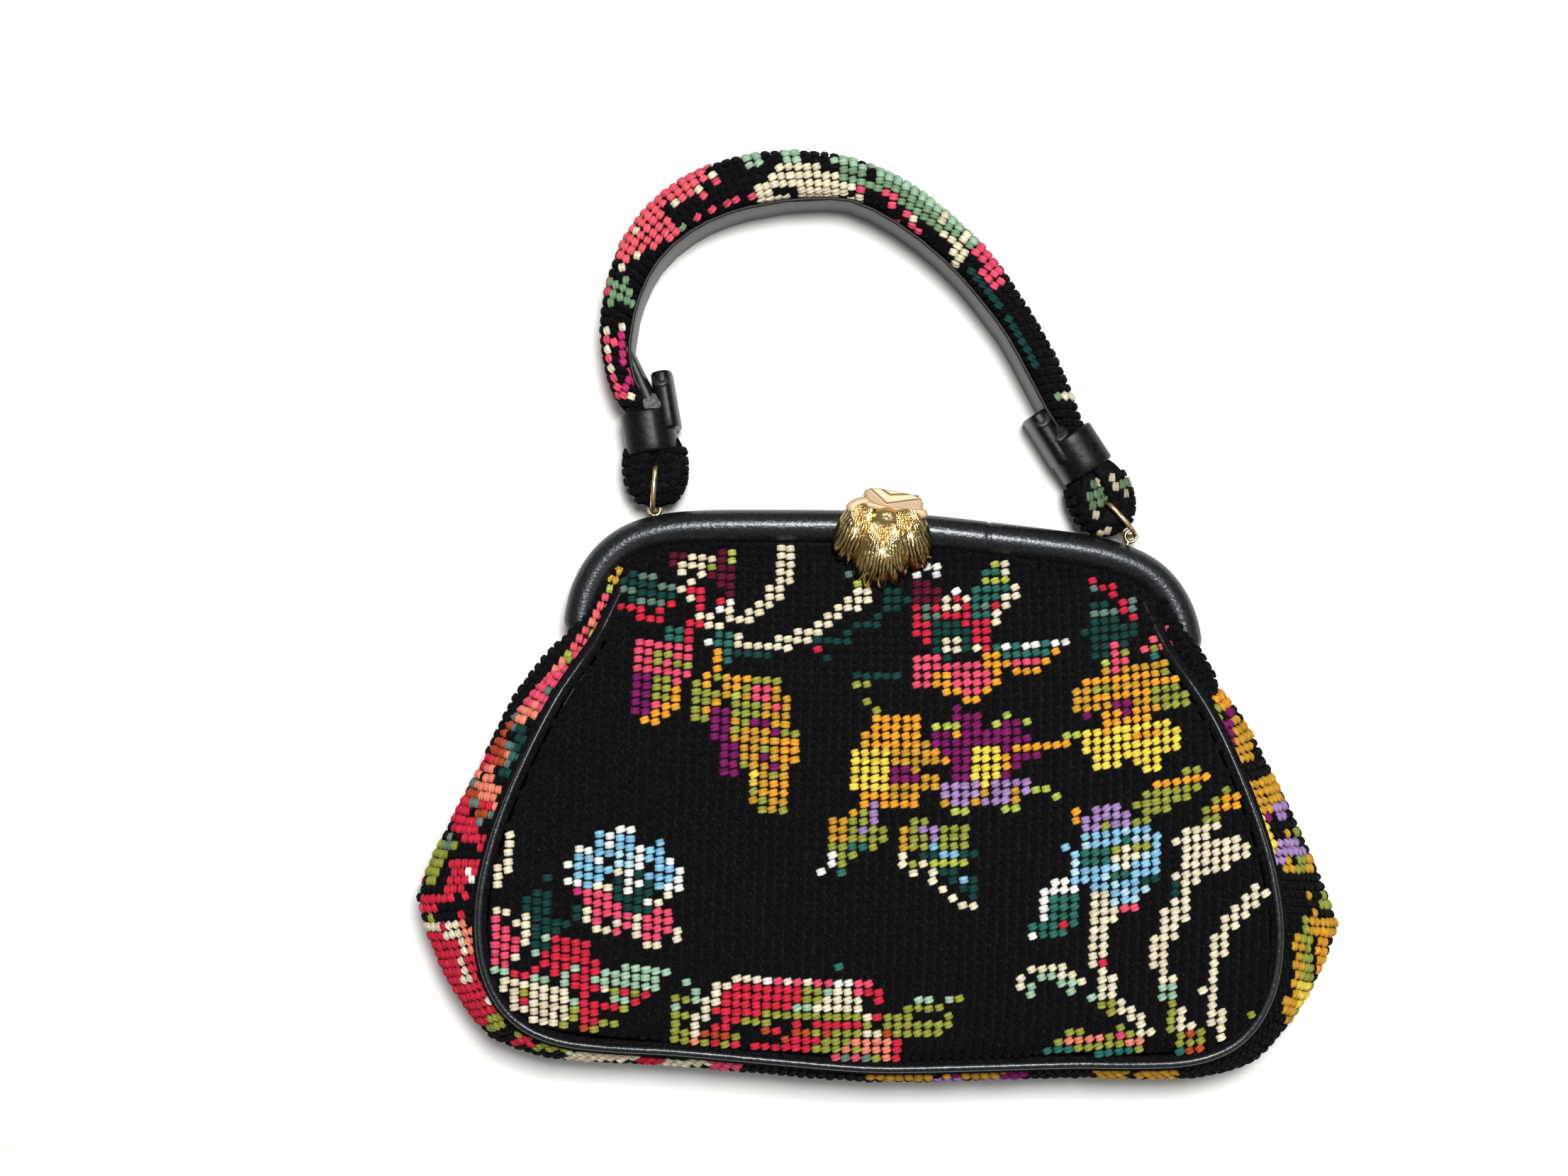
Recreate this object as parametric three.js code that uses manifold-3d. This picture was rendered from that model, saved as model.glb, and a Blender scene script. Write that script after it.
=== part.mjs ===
// Floral needlepoint handbag with a leather covered frame, lying on its back.
// Millimetres. +Z is up (the front panel faces up), +Y points to the handle, +X to the right.
// The origin is on the back panel's rest face, in the middle of the body.

import * as THREE from 'three';
import { mergeVertices } from 'three/addons/utils/BufferGeometryUtils.js';
import Module from 'manifold-3d';

const wasm = await Module();
wasm.setup();

// Driving dimensions
const GAP = 0.3;
const WALL = 2.6;
const PIPING_RADIUS = 1.75;
const PIPING_SIDES = 6;
const SEAM_CLEARANCE = PIPING_RADIUS + GAP;
const BACK_SEAM_HEIGHT = 1.95;
const PANEL_CLEARANCE = SEAM_CLEARANCE + 0.35;
const PANEL_LIP = 0.9;

// Beside the frame's feet the back seam is tucked in, to pass them.
const BACK_TUCK = 2.6;
const TUCK_FROM_Y = 34;
const TUCK_TO_Y = 45;

const OVERCUT = 1;
const CORNER_STEPS = 3;
const WELD = 1e-4;

const FRAME_RADIUS = 5.2;
const FRAME_SIDES = 10;
const FRAME_STEPS = 36;
const FRAME_SAMPLES = 120;
const BACK_FRAME_HEIGHT = 5.35;
const FRONT_FRAME_HEIGHT = 15.95;
const FRAME_MIDDLE = (BACK_FRAME_HEIGHT + FRONT_FRAME_HEIGHT) / 2;
const FOOT_Y = 46;
const FOOT_X = 96.2;
const HINGE_RISE = 5;
const HINGE_POST_RADIUS = 1.2;
const HINGE_POST_LENGTH = 14;

// The closed frame lies a little askew on the soft body.
const FRAME_TURN = THREE.MathUtils.degToRad(-1.7);
const FRAME_PIVOT = new THREE.Vector3(0, 60, 0);
const TURN_STARTS_Y = 40;
const TURN_FULL_Y = 66;

// Right half of the frame's centre line, from the middle of the top to the foot
const FRAME_LINE = [
  { x: 0, y: 84.0 },
  { x: 40, y: 82.3 },
  { x: 66, y: 80.3 },
  { x: 78, y: 77.6 },
  { x: 87, y: 71.5 },
  { x: 93, y: 62.5 },
  { x: 95.6, y: 54.0 },
];

// Right half of the seam that joins panel and gusset, from the frame down to the middle of the base.
// x and y place it in plan and rise is the front seam's height.
// out_x and out_y say how far the gusset swells past the seam.
const SEAM = [
  { name: 'throat', x: 79.6, y: 68.6, rise: 21.0, out_x: 0.0, out_y: 0.0 },
  { name: 'neck', x: 84.4, y: 56.5, rise: 27.0, out_x: 3.2, out_y: 0.0 },
  { name: 'arm', x: 90.0, y: 45.2, rise: 30.5, out_x: 0.1, out_y: 0.0 },
  { name: 'shoulder', x: 92.8, y: 41.0, rise: 32.0, out_x: 8.5, out_y: 0.6 },
  { name: 'upper', x: 99.5, y: 31.0, rise: 35.5, out_x: 12.2, out_y: -1.0 },
  { name: 'middle', x: 109.0, y: 11.0, rise: 39.5, out_x: 13.4, out_y: 0.0 },
  { name: 'low', x: 117.5, y: -12.0, rise: 42.0, out_x: 17.0, out_y: -1.0 },
  { name: 'hip', x: 121.8, y: -35.0, rise: 43.5, out_x: 22.2, out_y: -0.5 },
  { name: 'thigh', x: 121.0, y: -50.0, rise: 43.5, out_x: 17.0, out_y: -2.0 },
  { name: 'haunch', x: 117.5, y: -61.0, rise: 43.2, out_x: 13.0, out_y: -4.5 },
  { name: 'corner', x: 110.0, y: -70.5, rise: 42.8, out_x: 9.0, out_y: -8.6 },
  { name: 'base_side', x: 96.5, y: -75.8, rise: 42.4, out_x: 4.0, out_y: -9.0 },
  { name: 'base_outer', x: 66.0, y: -77.5, rise: 42.0, out_x: 0.0, out_y: -8.0 },
  { name: 'base_inner', x: 32.0, y: -79.8, rise: 41.7, out_x: 0.0, out_y: -7.8 },
  { name: 'base', x: 0.0, y: -81.6, rise: 41.5, out_x: 0.0, out_y: -7.4 },
];
const CORNER_ROW = SEAM.findIndex((row) => row.name === 'corner');
const STEPS_PER_ROW = 2;

// The front panel's swell over its seams, and its dents: place, depth and reach across and along
const PANEL_SWELL = 5.5;
const PANEL_TOP_HEIGHT = 17.4;

// Exponents of the swell: across and down the front panel, over the gusset, and of the top edge's run-out
const SWELL_ACROSS = 3;
const SWELL_DOWN = 0.7;
const SWELL_GUSSET = 0.75;
const TOP_RUN_OUT = 10;
const TOP_RISE = 6;

const DENTS = [
  { name: 'under_clasp', x: 0, y: 64, depth: 11.6, reach_x: 28, reach_y: 15, lean: 0 },
  { name: 'left_pleat', x: -72, y: 55, depth: 2.6, reach_x: 17, reach_y: 4.5, lean: -0.22 },
  { name: 'right_pleat', x: 75, y: 52, depth: 2.4, reach_x: 16, reach_y: 4.5, lean: 0.25 },
];
const PANEL_COLUMNS = 26;
const PANEL_ROWS = 16;
const BACK_COLUMNS = 14;
const BACK_ROWS = 8;
const GUSSET_COLUMNS = 7;

// Handle strap: centre line in plan, thickness, and the heights of its lower and upper edges
const STRAP_ARCH = [
  { x: -84.6, y: 125.0, thick: 7.2, low: 1.2, high: 24.0 },
  { x: -87.4, y: 134.5, thick: 7.6, low: 0.4, high: 24.6 },
  { x: -88.0, y: 143.4, thick: 9.2, low: 0.0, high: 25.0 },
  { x: -86.3, y: 155.0, thick: 10.4, low: 0.0, high: 25.0 },
  { x: -81.0, y: 169.0, thick: 12.8, low: 0.0, high: 25.0 },
  { x: -70.4, y: 181.2, thick: 15.2, low: 0.0, high: 25.0 },
  { x: -57.0, y: 189.0, thick: 16.2, low: 0.0, high: 25.0 },
  { x: -43.0, y: 193.0, thick: 16.4, low: 0.0, high: 25.0 },
  { x: -29.0, y: 194.4, thick: 15.0, low: 0.0, high: 25.0 },
  { x: -13.2, y: 193.0, thick: 12.8, low: 0.0, high: 25.0 },
  { x: 3.2, y: 185.5, thick: 12.6, low: 0.0, high: 25.0 },
  { x: 19.4, y: 173.1, thick: 11.8, low: 0.0, high: 25.0 },
  { x: 30.4, y: 161.5, thick: 11.2, low: 0.0, high: 25.0 },
  { x: 39.8, y: 148.8, thick: 10.0, low: 0.0, high: 25.0 },
  { x: 47.5, y: 136.0, thick: 10.2, low: 0.0, high: 25.0 },
  { x: 53.0, y: 125.2, thick: 9.0, low: 0.8, high: 24.4 },
];
const STRAP_SIDES = 12;

// Exponents of the strap's section: its plump outer face, its flat inner face and its two edges
const STRAP_OUTER = 0.8;
const STRAP_INNER = 0.35;
const STRAP_EDGE = 0.5;

const LINING_THICKNESS = 1.1;
const LINING_INSET = 1.2;

// Each strap end: the keeper's middle and slope, the centre of the fold, and the side of the handle
const ENDS = [
  { side: 'left', keeper_x: -76.6, keeper_y: 112.4, slope_deg: 101, fold_x: -73.6, fold_y: 100.2, inward: 1 },
  { side: 'right', keeper_x: 59.5, keeper_y: 110.0, slope_deg: 124.8, fold_x: 68.0, fold_y: 94.3, inward: -1 },
];
const FOLD_RADIUS = 5.5;
const FOLD_THICKNESS = 8.4;
const FOLD_LOW = 2.9;
const FOLD_HIGH = 22.5;
const FOLD_STEP_DEG = 45;
const FOLD_RISE = 2.2;
const LEG_THICKNESS = 6.6;
const TAIL_THICKNESS = 3.8;
const LEG_OFFSET = 2.35;
const TAIL_OFFSET = 3.75;
const LEG_OVERRUN = 1.3;
const TAIL_RECESS = 1.6;
const KEEPER_LENGTH = 12.6;
const KEEPER_HALF_WIDTH = 7.3;
const KEEPER_WALL = 1.25;
const KEEPER_LOW = 0.2;
const KEEPER_HIGH = 25.0;
const KEEPER_CORNER = 4.2;
const KEEPER_LOBE = {
  width: 4.8, height: 13.0, low: -4.0, high: 16.0, recess: 1.6, wall: 1.1, sink: 0.9, corner: 2.2, lean: -0.13,
};

// Brass eyelets on the frame's top, and the wire links that hang the strap on them
const EYELETS = [
  { side: 'left', x: -75.0, stand: 6.7 },
  { side: 'right', x: 77.0, stand: 8.0 },
];
const WIRE_SIDES = 6;
const EYELET_SIDES = 12;
const EYELET_RADIUS = 1.9;
const EYELET_WIRE = 0.6;
const EYELET_ROOT = 2.9;
const LINK_WIRE = 0.8;
const LINK_SPAN = 14.3;
const LINK_LOW = 1.2;
const LINK_HIGH = 24.2;
const LINK_CORNER = 4.5;

// Clasp: lobes of the cast shell, each an ellipsoid, and the plate and knuckle that carry it
const CLASP_REACH = 60;
const LOBE_SIDES = 12;
const LOBE_RINGS = 8;
const CLASP_BACK = 21.6;
const CLASP_LOBES = [
  { name: 'dome', x: -2.0, y: 80.0, z: 21.8, rx: 13.4, ry: 11.0, rz: 6.4, lean_deg: 0 },
  { name: 'left_leaf', x: -11.2, y: 78.5, z: 22.2, rx: 6.2, ry: 9.6, rz: 5.6, lean_deg: -14 },
  { name: 'right_leaf', x: 7.4, y: 78.0, z: 22.2, rx: 6.2, ry: 10.0, rz: 5.6, lean_deg: 14 },
  { name: 'tongue', x: -2.6, y: 74.0, z: 23.2, rx: 7.4, ry: 8.2, rz: 6.2, lean_deg: 0 },
  { name: 'left_tip', x: -6.4, y: 68.6, z: 23.2, rx: 3.4, ry: 3.6, rz: 3.6, lean_deg: -10 },
  { name: 'middle_tip', x: -1.6, y: 68.2, z: 23.4, rx: 2.6, ry: 3.4, rz: 3.4, lean_deg: 0 },
  { name: 'right_tip', x: 2.4, y: 69.6, z: 23.2, rx: 3.2, ry: 3.6, rz: 3.4, lean_deg: 12 },
];
const PLATE = { half_width: 9.4, top_half_width: 8.0, low_y: 86.0, high_y: 94.6, front: 28.0, edge: 24.4 };
const BRIDGE = { half_width: 7.0, near_y: 89.6, far_y: 94.4, low: 7.6 };
const KNUCKLE = { y: 92.6, z: 5.3, radius: 2.3, bore: 1.1, half_width: 3.8, sides: 16 };
const PIN_SIDES = 12;
const HINGE_PIN = { radius: 0.8, half_width: 6.8, ear_near: 4.2, ear_y0: 89.5, ear_y1: 93.8, ear_half: 1.5 };

// Materials
const wool = new THREE.MeshStandardMaterial({ color: 0x17151a, roughness: 0.95, metalness: 0 });
const leather = new THREE.MeshStandardMaterial({ color: 0x0e0e10, roughness: 0.35, metalness: 0 });
const gold = new THREE.MeshStandardMaterial({ color: 0xb98a3c, roughness: 0.25, metalness: 1 });
const brass = new THREE.MeshStandardMaterial({ color: 0xa98f57, roughness: 0.3, metalness: 1 });

// Closed surfaces

function signedVolume(positions, index) {
  const corners = [new THREE.Vector3(), new THREE.Vector3(), new THREE.Vector3()];
  let volume = 0;
  for (let i = 0; i < index.length; i += 3) {
    corners.forEach((corner, k) => corner.fromArray(positions, index[i + k] * 3));
    volume += corners[0].dot(corners[1].clone().cross(corners[2])) / 6;
  }
  return volume;
}

function solidFrom(positions, index) {
  const facing = signedVolume(positions, index) > 0 ? index : index.slice().reverse();
  const geometry = new THREE.BufferGeometry();
  geometry.setAttribute('position', new THREE.Float32BufferAttribute(positions, 3));
  geometry.setIndex(facing);
  return geometry;
}

// Joins rings of equal length into a tube, closed on itself or capped at both ends.
function loft(rings, closed = false) {
  const sides = rings[0].length;
  const positions = rings.flatMap((ring) => ring.flatMap((p) => p.toArray()));
  const index = [];
  const spans = closed ? rings.length : rings.length - 1;
  for (let r = 0; r < spans; r += 1) {
    const here = r * sides;
    const next = ((r + 1) % rings.length) * sides;
    for (let k = 0; k < sides; k += 1) {
      const k1 = (k + 1) % sides;
      index.push(here + k, here + k1, next + k1, here + k, next + k1, next + k);
    }
  }
  if (!closed) {
    const last = (rings.length - 1) * sides;
    for (let k = 1; k < sides - 1; k += 1) {
      index.push(0, k + 1, k);
      index.push(last, last + k, last + k + 1);
    }
  }
  return solidFrom(positions, index);
}

// Thickens a grid of points into a wall: the grid is its outer face, and the inner face lies below it.
function wallFrom(grid, thickness, inwardHint) {
  const rows = grid.length;
  const columns = grid[0].length;
  const inner = grid.map((row, r) => row.map((point, c) => {
    const alongRow = grid[r][Math.min(c + 1, columns - 1)].clone().sub(grid[r][Math.max(c - 1, 0)]);
    const acrossRow = grid[Math.min(r + 1, rows - 1)][c].clone().sub(grid[Math.max(r - 1, 0)][c]);
    const normal = alongRow.cross(acrossRow).normalize();
    if (normal.dot(inwardHint(point)) < 0) {
      normal.negate();
    }
    return point.clone().addScaledVector(normal, thickness);
  }));
  const faces = [grid, inner];
  const positions = faces.flatMap((face) => face.flatMap((row) => row.flatMap((p) => p.toArray())));
  const at = (face, r, c) => face * rows * columns + r * columns + c;
  const index = [];
  const quad = (a, b, c, d) => index.push(a, b, c, a, c, d);
  for (let r = 0; r < rows - 1; r += 1) {
    for (let c = 0; c < columns - 1; c += 1) {
      quad(at(0, r, c), at(0, r, c + 1), at(0, r + 1, c + 1), at(0, r + 1, c));
      quad(at(1, r, c), at(1, r + 1, c), at(1, r + 1, c + 1), at(1, r, c + 1));
    }
  }
  for (let c = 0; c < columns - 1; c += 1) {
    quad(at(0, 0, c), at(1, 0, c), at(1, 0, c + 1), at(0, 0, c + 1));
    quad(at(0, rows - 1, c), at(0, rows - 1, c + 1), at(1, rows - 1, c + 1), at(1, rows - 1, c));
  }
  for (let r = 0; r < rows - 1; r += 1) {
    quad(at(0, r, 0), at(0, r + 1, 0), at(1, r + 1, 0), at(1, r, 0));
    quad(at(0, r, columns - 1), at(1, r, columns - 1), at(1, r + 1, columns - 1), at(0, r + 1, columns - 1));
  }
  return solidFrom(positions, index);
}

// Joins and cuts

function toManifold(geometry) {
  const bare = geometry.clone();
  bare.deleteAttribute('normal');
  bare.deleteAttribute('uv');
  const merged = mergeVertices(bare, WELD);
  return new wasm.Manifold(new wasm.Mesh({
    numProp: 3,
    vertProperties: new Float32Array(merged.attributes.position.array),
    triVerts: new Uint32Array(merged.index.array),
  }));
}

function fromManifold(solid) {
  const mesh = solid.getMesh();
  const geometry = new THREE.BufferGeometry();
  geometry.setAttribute('position', new THREE.BufferAttribute(mesh.vertProperties, 3));
  geometry.setIndex(new THREE.BufferAttribute(mesh.triVerts, 1));
  return geometry;
}

function join(geometries) {
  return fromManifold(geometries.map(toManifold).reduce((sum, next) => sum.add(next)));
}

function cut(geometry, tools) {
  return fromManifold(tools.map(toManifold).reduce((rest, tool) => rest.subtract(tool), toManifold(geometry)));
}

// Small shapes

function box(x0, x1, y0, y1, z0, z1) {
  const geometry = new THREE.BoxGeometry(x1 - x0, y1 - y0, z1 - z0);
  return geometry.translate((x0 + x1) / 2, (y0 + y1) / 2, (z0 + z1) / 2);
}

function rodAlongX(radius, halfWidth, y, z, sides) {
  const geometry = new THREE.CylinderGeometry(radius, radius, 2 * halfWidth, sides);
  return geometry.rotateZ(Math.PI / 2).translate(0, y, z);
}

function rodAlongZ(radius, x, y, z0, z1, sides) {
  const geometry = new THREE.CylinderGeometry(radius, radius, z1 - z0, sides);
  return geometry.rotateX(Math.PI / 2).translate(x, y, (z0 + z1) / 2);
}

function circleShape(radius, sides) {
  const points = [];
  for (let k = 0; k < sides; k += 1) {
    const angle = (2 * Math.PI * k) / sides;
    points.push(new THREE.Vector2(radius * Math.cos(angle), radius * Math.sin(angle)));
  }
  return new THREE.Shape(points);
}

function tube(curve, radius, sides, steps) {
  return new THREE.ExtrudeGeometry(circleShape(radius, sides), { steps, extrudePath: curve });
}

function roundedRectangle(halfWidth, low, high, corner) {
  const shape = new THREE.Shape();
  shape.moveTo(-halfWidth + corner, low);
  shape.lineTo(halfWidth - corner, low);
  shape.quadraticCurveTo(halfWidth, low, halfWidth, low + corner);
  shape.lineTo(halfWidth, high - corner);
  shape.quadraticCurveTo(halfWidth, high, halfWidth - corner, high);
  shape.lineTo(-halfWidth + corner, high);
  shape.quadraticCurveTo(-halfWidth, high, -halfWidth, high - corner);
  shape.lineTo(-halfWidth, low + corner);
  shape.quadraticCurveTo(-halfWidth, low, -halfWidth + corner, low);
  return shape;
}

function lerpRow(a, b, t, key) {
  return a[key] + (b[key] - a[key]) * t;
}

// Frame line and its turn

function turned(point, share = 1) {
  const axis = new THREE.Vector3(0, 0, 1);
  return point.clone().sub(FRAME_PIVOT).applyAxisAngle(axis, FRAME_TURN * share).add(FRAME_PIVOT);
}

function turnShare(y) {
  return THREE.MathUtils.smoothstep(y, TURN_STARTS_Y, TURN_FULL_Y);
}

// The foot's place in the frame's own axes, so that both feet end at the same height after the turn
function footPoint(side) {
  const x = side * FOOT_X;
  const reach = FOOT_Y - FRAME_PIVOT.y - x * Math.sin(FRAME_TURN);
  return new THREE.Vector3(x, FRAME_PIVOT.y + reach / Math.cos(FRAME_TURN), 0);
}

function frameCurve(height, offset = 0) {
  const half = FRAME_LINE.map((row) => new THREE.Vector3(row.x, row.y, 0));
  const leftHalf = half.slice(1).reverse().map((p) => new THREE.Vector3(-p.x, p.y, 0));
  const points = [footPoint(-1), ...leftHalf, ...half, footPoint(1)];
  const middle = new THREE.CatmullRomCurve3(points, false, 'centripetal');
  if (offset === 0) {
    points.forEach((p) => p.setZ(height));
    return middle;
  }
  const moved = [];
  for (let i = 0; i <= FRAME_SAMPLES; i += 1) {
    const t = i / FRAME_SAMPLES;
    const tangent = middle.getTangent(t);
    const outward = new THREE.Vector3(-tangent.y, tangent.x, 0);
    moved.push(middle.getPoint(t).addScaledVector(outward, offset).setZ(height));
  }
  return moved;
}

function frameTopAt(x, offset) {
  const line = frameCurve(0, offset);
  for (let i = 1; i < line.length; i += 1) {
    if (line[i - 1].x <= x && line[i].x >= x) {
      const t = (x - line[i - 1].x) / (line[i].x - line[i - 1].x);
      return line[i - 1].clone().lerp(line[i], t);
    }
  }
  throw new Error('no frame above x = ' + x);
}

// Seam round the body: stations from the left throat, over the base, to the right throat

function seamStations() {
  const left = SEAM.map((row) => ({ ...row, x: -row.x, out_x: -row.out_x }));
  const right = SEAM.slice(0, -1).reverse();
  const rows = [...left, ...right].map((row) => {
    const place = turned(new THREE.Vector3(row.x, row.y, 0), turnShare(row.y));
    return { ...row, x: place.x, y: place.y };
  });
  const curve = new THREE.CatmullRomCurve3(
    rows.map((row) => new THREE.Vector3(row.x, row.y, row.rise)), false, 'centripetal');
  const stations = [];
  const spans = rows.length - 1;
  for (let i = 0; i <= spans * STEPS_PER_ROW; i += 1) {
    const along = i / STEPS_PER_ROW;
    const row = Math.min(Math.floor(along), spans - 1);
    const place = curve.getPoint(i / (spans * STEPS_PER_ROW));
    const tangent = curve.getTangent(i / (spans * STEPS_PER_ROW)).setZ(0).normalize();
    const inward = new THREE.Vector3(-tangent.y, tangent.x, 0);
    const tuck = BACK_TUCK * THREE.MathUtils.smoothstep(place.y, TUCK_FROM_Y, TUCK_TO_Y);
    stations.push({
      place,
      inward,
      back: place.clone().addScaledVector(inward, tuck).setZ(BACK_SEAM_HEIGHT),
      out: new THREE.Vector3(
        lerpRow(rows[row], rows[row + 1], along - row, 'out_x'),
        lerpRow(rows[row], rows[row + 1], along - row, 'out_y'), 0),
    });
  }
  return stations;
}

const stations = seamStations();
const cornerStation = CORNER_ROW * STEPS_PER_ROW;

// Panels: a patch between the frame line above and the seam at both sides and below

function sampleLine(points, t) {
  const along = t * (points.length - 1);
  const i = Math.min(Math.floor(along), points.length - 2);
  return points[i].clone().lerp(points[i + 1], along - i);
}

function panelEdges(isFront) {
  const edge = stations.map((station) => {
    const seam = isFront ? station.place : station.back;
    const height = isFront ? seam.z + PANEL_LIP : 0;
    return seam.clone().addScaledVector(station.inward, PANEL_CLEARANCE).setZ(height);
  });
  const last = edge.length - 1;
  const left = edge.slice(0, cornerStation + 1);
  const right = edge.slice(last - cornerStation).reverse();
  const base = edge.slice(cornerStation, last - cornerStation + 1);
  return { left, right, base };
}

function topEdge(start, end, height, columns) {
  const points = [];
  for (let c = 0; c <= columns; c += 1) {
    const t = c / columns;
    const chord = start.clone().lerp(end, t);
    const local = turned(new THREE.Vector3(chord.x, chord.y, 0), -1);
    const under = turned(frameTopAt(local.x, -(FRAME_RADIUS + GAP)));
    const hold = Math.pow(Math.abs(2 * t - 1), TOP_RUN_OUT);
    const point = under.lerp(new THREE.Vector3(chord.x, chord.y, 0), hold);
    point.z = height + (chord.z - height) * Math.pow(Math.abs(2 * t - 1), TOP_RISE);
    points.push(point);
  }
  return points;
}

function panelGrid(isFront, topHeight, columns, rows) {
  const { left, right, base } = panelEdges(isFront);
  const top = topEdge(left[0], right[0], topHeight, columns);
  const corners = { tl: left[0], tr: right[0], bl: base[0], br: base[base.length - 1] };
  const grid = [];
  for (let r = 0; r <= rows; r += 1) {
    const v = r / rows;
    const row = [];
    for (let c = 0; c <= columns; c += 1) {
      const u = c / columns;
      const across = sampleLine(left, v).lerp(sampleLine(right, v), u);
      const down = sampleLine(top, u).lerp(sampleLine(base, u), v);
      const flatTop = corners.tl.clone().lerp(corners.tr, u);
      const flatBase = corners.bl.clone().lerp(corners.br, u);
      row.push(across.add(down).sub(flatTop.lerp(flatBase, v)));
    }
    grid.push(row);
  }
  return grid;
}

function dentAt(x, y) {
  return DENTS.reduce((sum, dent) => {
    const dx = (x - dent.x) / dent.reach_x;
    const dy = (y - dent.y - dent.lean * (x - dent.x)) / dent.reach_y;
    return sum + dent.depth * Math.exp(-dx * dx - dy * dy);
  }, 0);
}

function frontPanel() {
  const grid = panelGrid(true, PANEL_TOP_HEIGHT, PANEL_COLUMNS, PANEL_ROWS);
  grid.forEach((row, r) => row.forEach((point, c) => {
    const across = 1 - Math.pow(Math.abs((2 * c) / PANEL_COLUMNS - 1), SWELL_ACROSS);
    const down = Math.pow(Math.sin((Math.PI * r) / PANEL_ROWS), SWELL_DOWN);
    point.z += (PANEL_SWELL - dentAt(point.x, point.y)) * across * down;
  }));
  return wallFrom(grid, WALL, () => new THREE.Vector3(0, 0, -1));
}

function backPanel() {
  const grid = panelGrid(false, 0, BACK_COLUMNS, BACK_ROWS);
  return wallFrom(grid, WALL, () => new THREE.Vector3(0, 0, 1));
}

function gusset() {
  const backEdge = BACK_SEAM_HEIGHT + SEAM_CLEARANCE;
  const grid = stations.map((station) => {
    const frontEdge = station.place.z - SEAM_CLEARANCE;
    const row = [];
    for (let c = 0; c <= GUSSET_COLUMNS; c += 1) {
      const t = c / GUSSET_COLUMNS;
      const swell = Math.pow(Math.sin(Math.PI * t), SWELL_GUSSET);
      const point = station.place.clone().lerp(station.back, t).addScaledVector(station.out, swell);
      row.push(point.setZ(frontEdge + (backEdge - frontEdge) * t));
    }
    return row;
  });
  return wallFrom(grid, WALL, (point) => point.clone().negate().setZ(0));
}

function piping(seam) {
  const points = stations.map((station) => station[seam]);
  const curve = new THREE.CatmullRomCurve3(points, false, 'centripetal');
  return tube(curve, PIPING_RADIUS, PIPING_SIDES, points.length - 1);
}

// Frame halves, each bored at both feet for the hidden posts that hinge them

function hingePlace(side) {
  const foot = footPoint(side);
  return { x: foot.x, y: foot.y + HINGE_RISE };
}

function frameHalf(height) {
  const bar = tube(frameCurve(height), FRAME_RADIUS, FRAME_SIDES, FRAME_STEPS);
  const low = FRAME_MIDDLE - HINGE_POST_LENGTH / 2 - GAP;
  const high = FRAME_MIDDLE + HINGE_POST_LENGTH / 2 + GAP;
  const bores = [-1, 1].map((side) => {
    const { x, y } = hingePlace(side);
    return rodAlongZ(HINGE_POST_RADIUS + GAP, x, y, low, high, PIN_SIDES);
  });
  return cut(bar, bores);
}

function hingePost(side) {
  const { x, y } = hingePlace(side);
  const low = FRAME_MIDDLE - HINGE_POST_LENGTH / 2;
  return rodAlongZ(HINGE_POST_RADIUS, x, y, low, low + HINGE_POST_LENGTH, PIN_SIDES);
}

// Clasp and the bracket that carries it

function ellipsoid(lobe) {
  const geometry = new THREE.SphereGeometry(1, LOBE_SIDES, LOBE_RINGS);
  geometry.scale(lobe.rx, lobe.ry, lobe.rz);
  return geometry.rotateZ(THREE.MathUtils.degToRad(lobe.lean_deg)).translate(lobe.x, lobe.y, lobe.z);
}

// Tapered plate: a ridge runs down its middle, so its two halves slope to either side.
function claspPlate() {
  const sections = [
    { y: PLATE.low_y, half: PLATE.half_width },
    { y: PLATE.high_y, half: PLATE.top_half_width },
  ];
  const rings = sections.map(({ y, half }) => [
    new THREE.Vector3(-half, y, CLASP_BACK),
    new THREE.Vector3(-half, y, PLATE.edge),
    new THREE.Vector3(0, y, PLATE.front),
    new THREE.Vector3(half, y, PLATE.edge),
    new THREE.Vector3(half, y, CLASP_BACK),
  ]);
  return loft(rings);
}

function clasp() {
  const shell = join(CLASP_LOBES.map(ellipsoid));
  const behind = box(-CLASP_REACH, CLASP_REACH, 0, 2 * CLASP_REACH, 0, CLASP_BACK);
  const bridge = box(-BRIDGE.half_width, BRIDGE.half_width, BRIDGE.near_y, BRIDGE.far_y,
    BRIDGE.low, PLATE.edge);
  const neck = box(-KNUCKLE.half_width, KNUCKLE.half_width, BRIDGE.near_y + GAP, BRIDGE.far_y - GAP,
    KNUCKLE.z, BRIDGE.low + OVERCUT);
  const knuckle = rodAlongX(KNUCKLE.radius, KNUCKLE.half_width, KNUCKLE.y, KNUCKLE.z, KNUCKLE.sides);
  const bore = rodAlongX(KNUCKLE.bore, KNUCKLE.half_width + OVERCUT, KNUCKLE.y, KNUCKLE.z, PIN_SIDES);
  const front = join([cut(shell, [behind]), claspPlate(), bridge, neck, knuckle]);
  return cut(front, [bore]);
}

function claspHinge() {
  const pin = rodAlongX(HINGE_PIN.radius, HINGE_PIN.half_width, KNUCKLE.y, KNUCKLE.z, PIN_SIDES);
  const low = KNUCKLE.z - HINGE_PIN.ear_half;
  const high = KNUCKLE.z + HINGE_PIN.ear_half;
  const ears = [-1, 1].map((side) => {
    const x0 = side < 0 ? -HINGE_PIN.half_width : HINGE_PIN.ear_near;
    const x1 = side < 0 ? -HINGE_PIN.ear_near : HINGE_PIN.half_width;
    return box(x0, x1, HINGE_PIN.ear_y0, HINGE_PIN.ear_y1, low, high);
  });
  return join([pin, ...ears]);
}

// Eyelets and links

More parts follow.
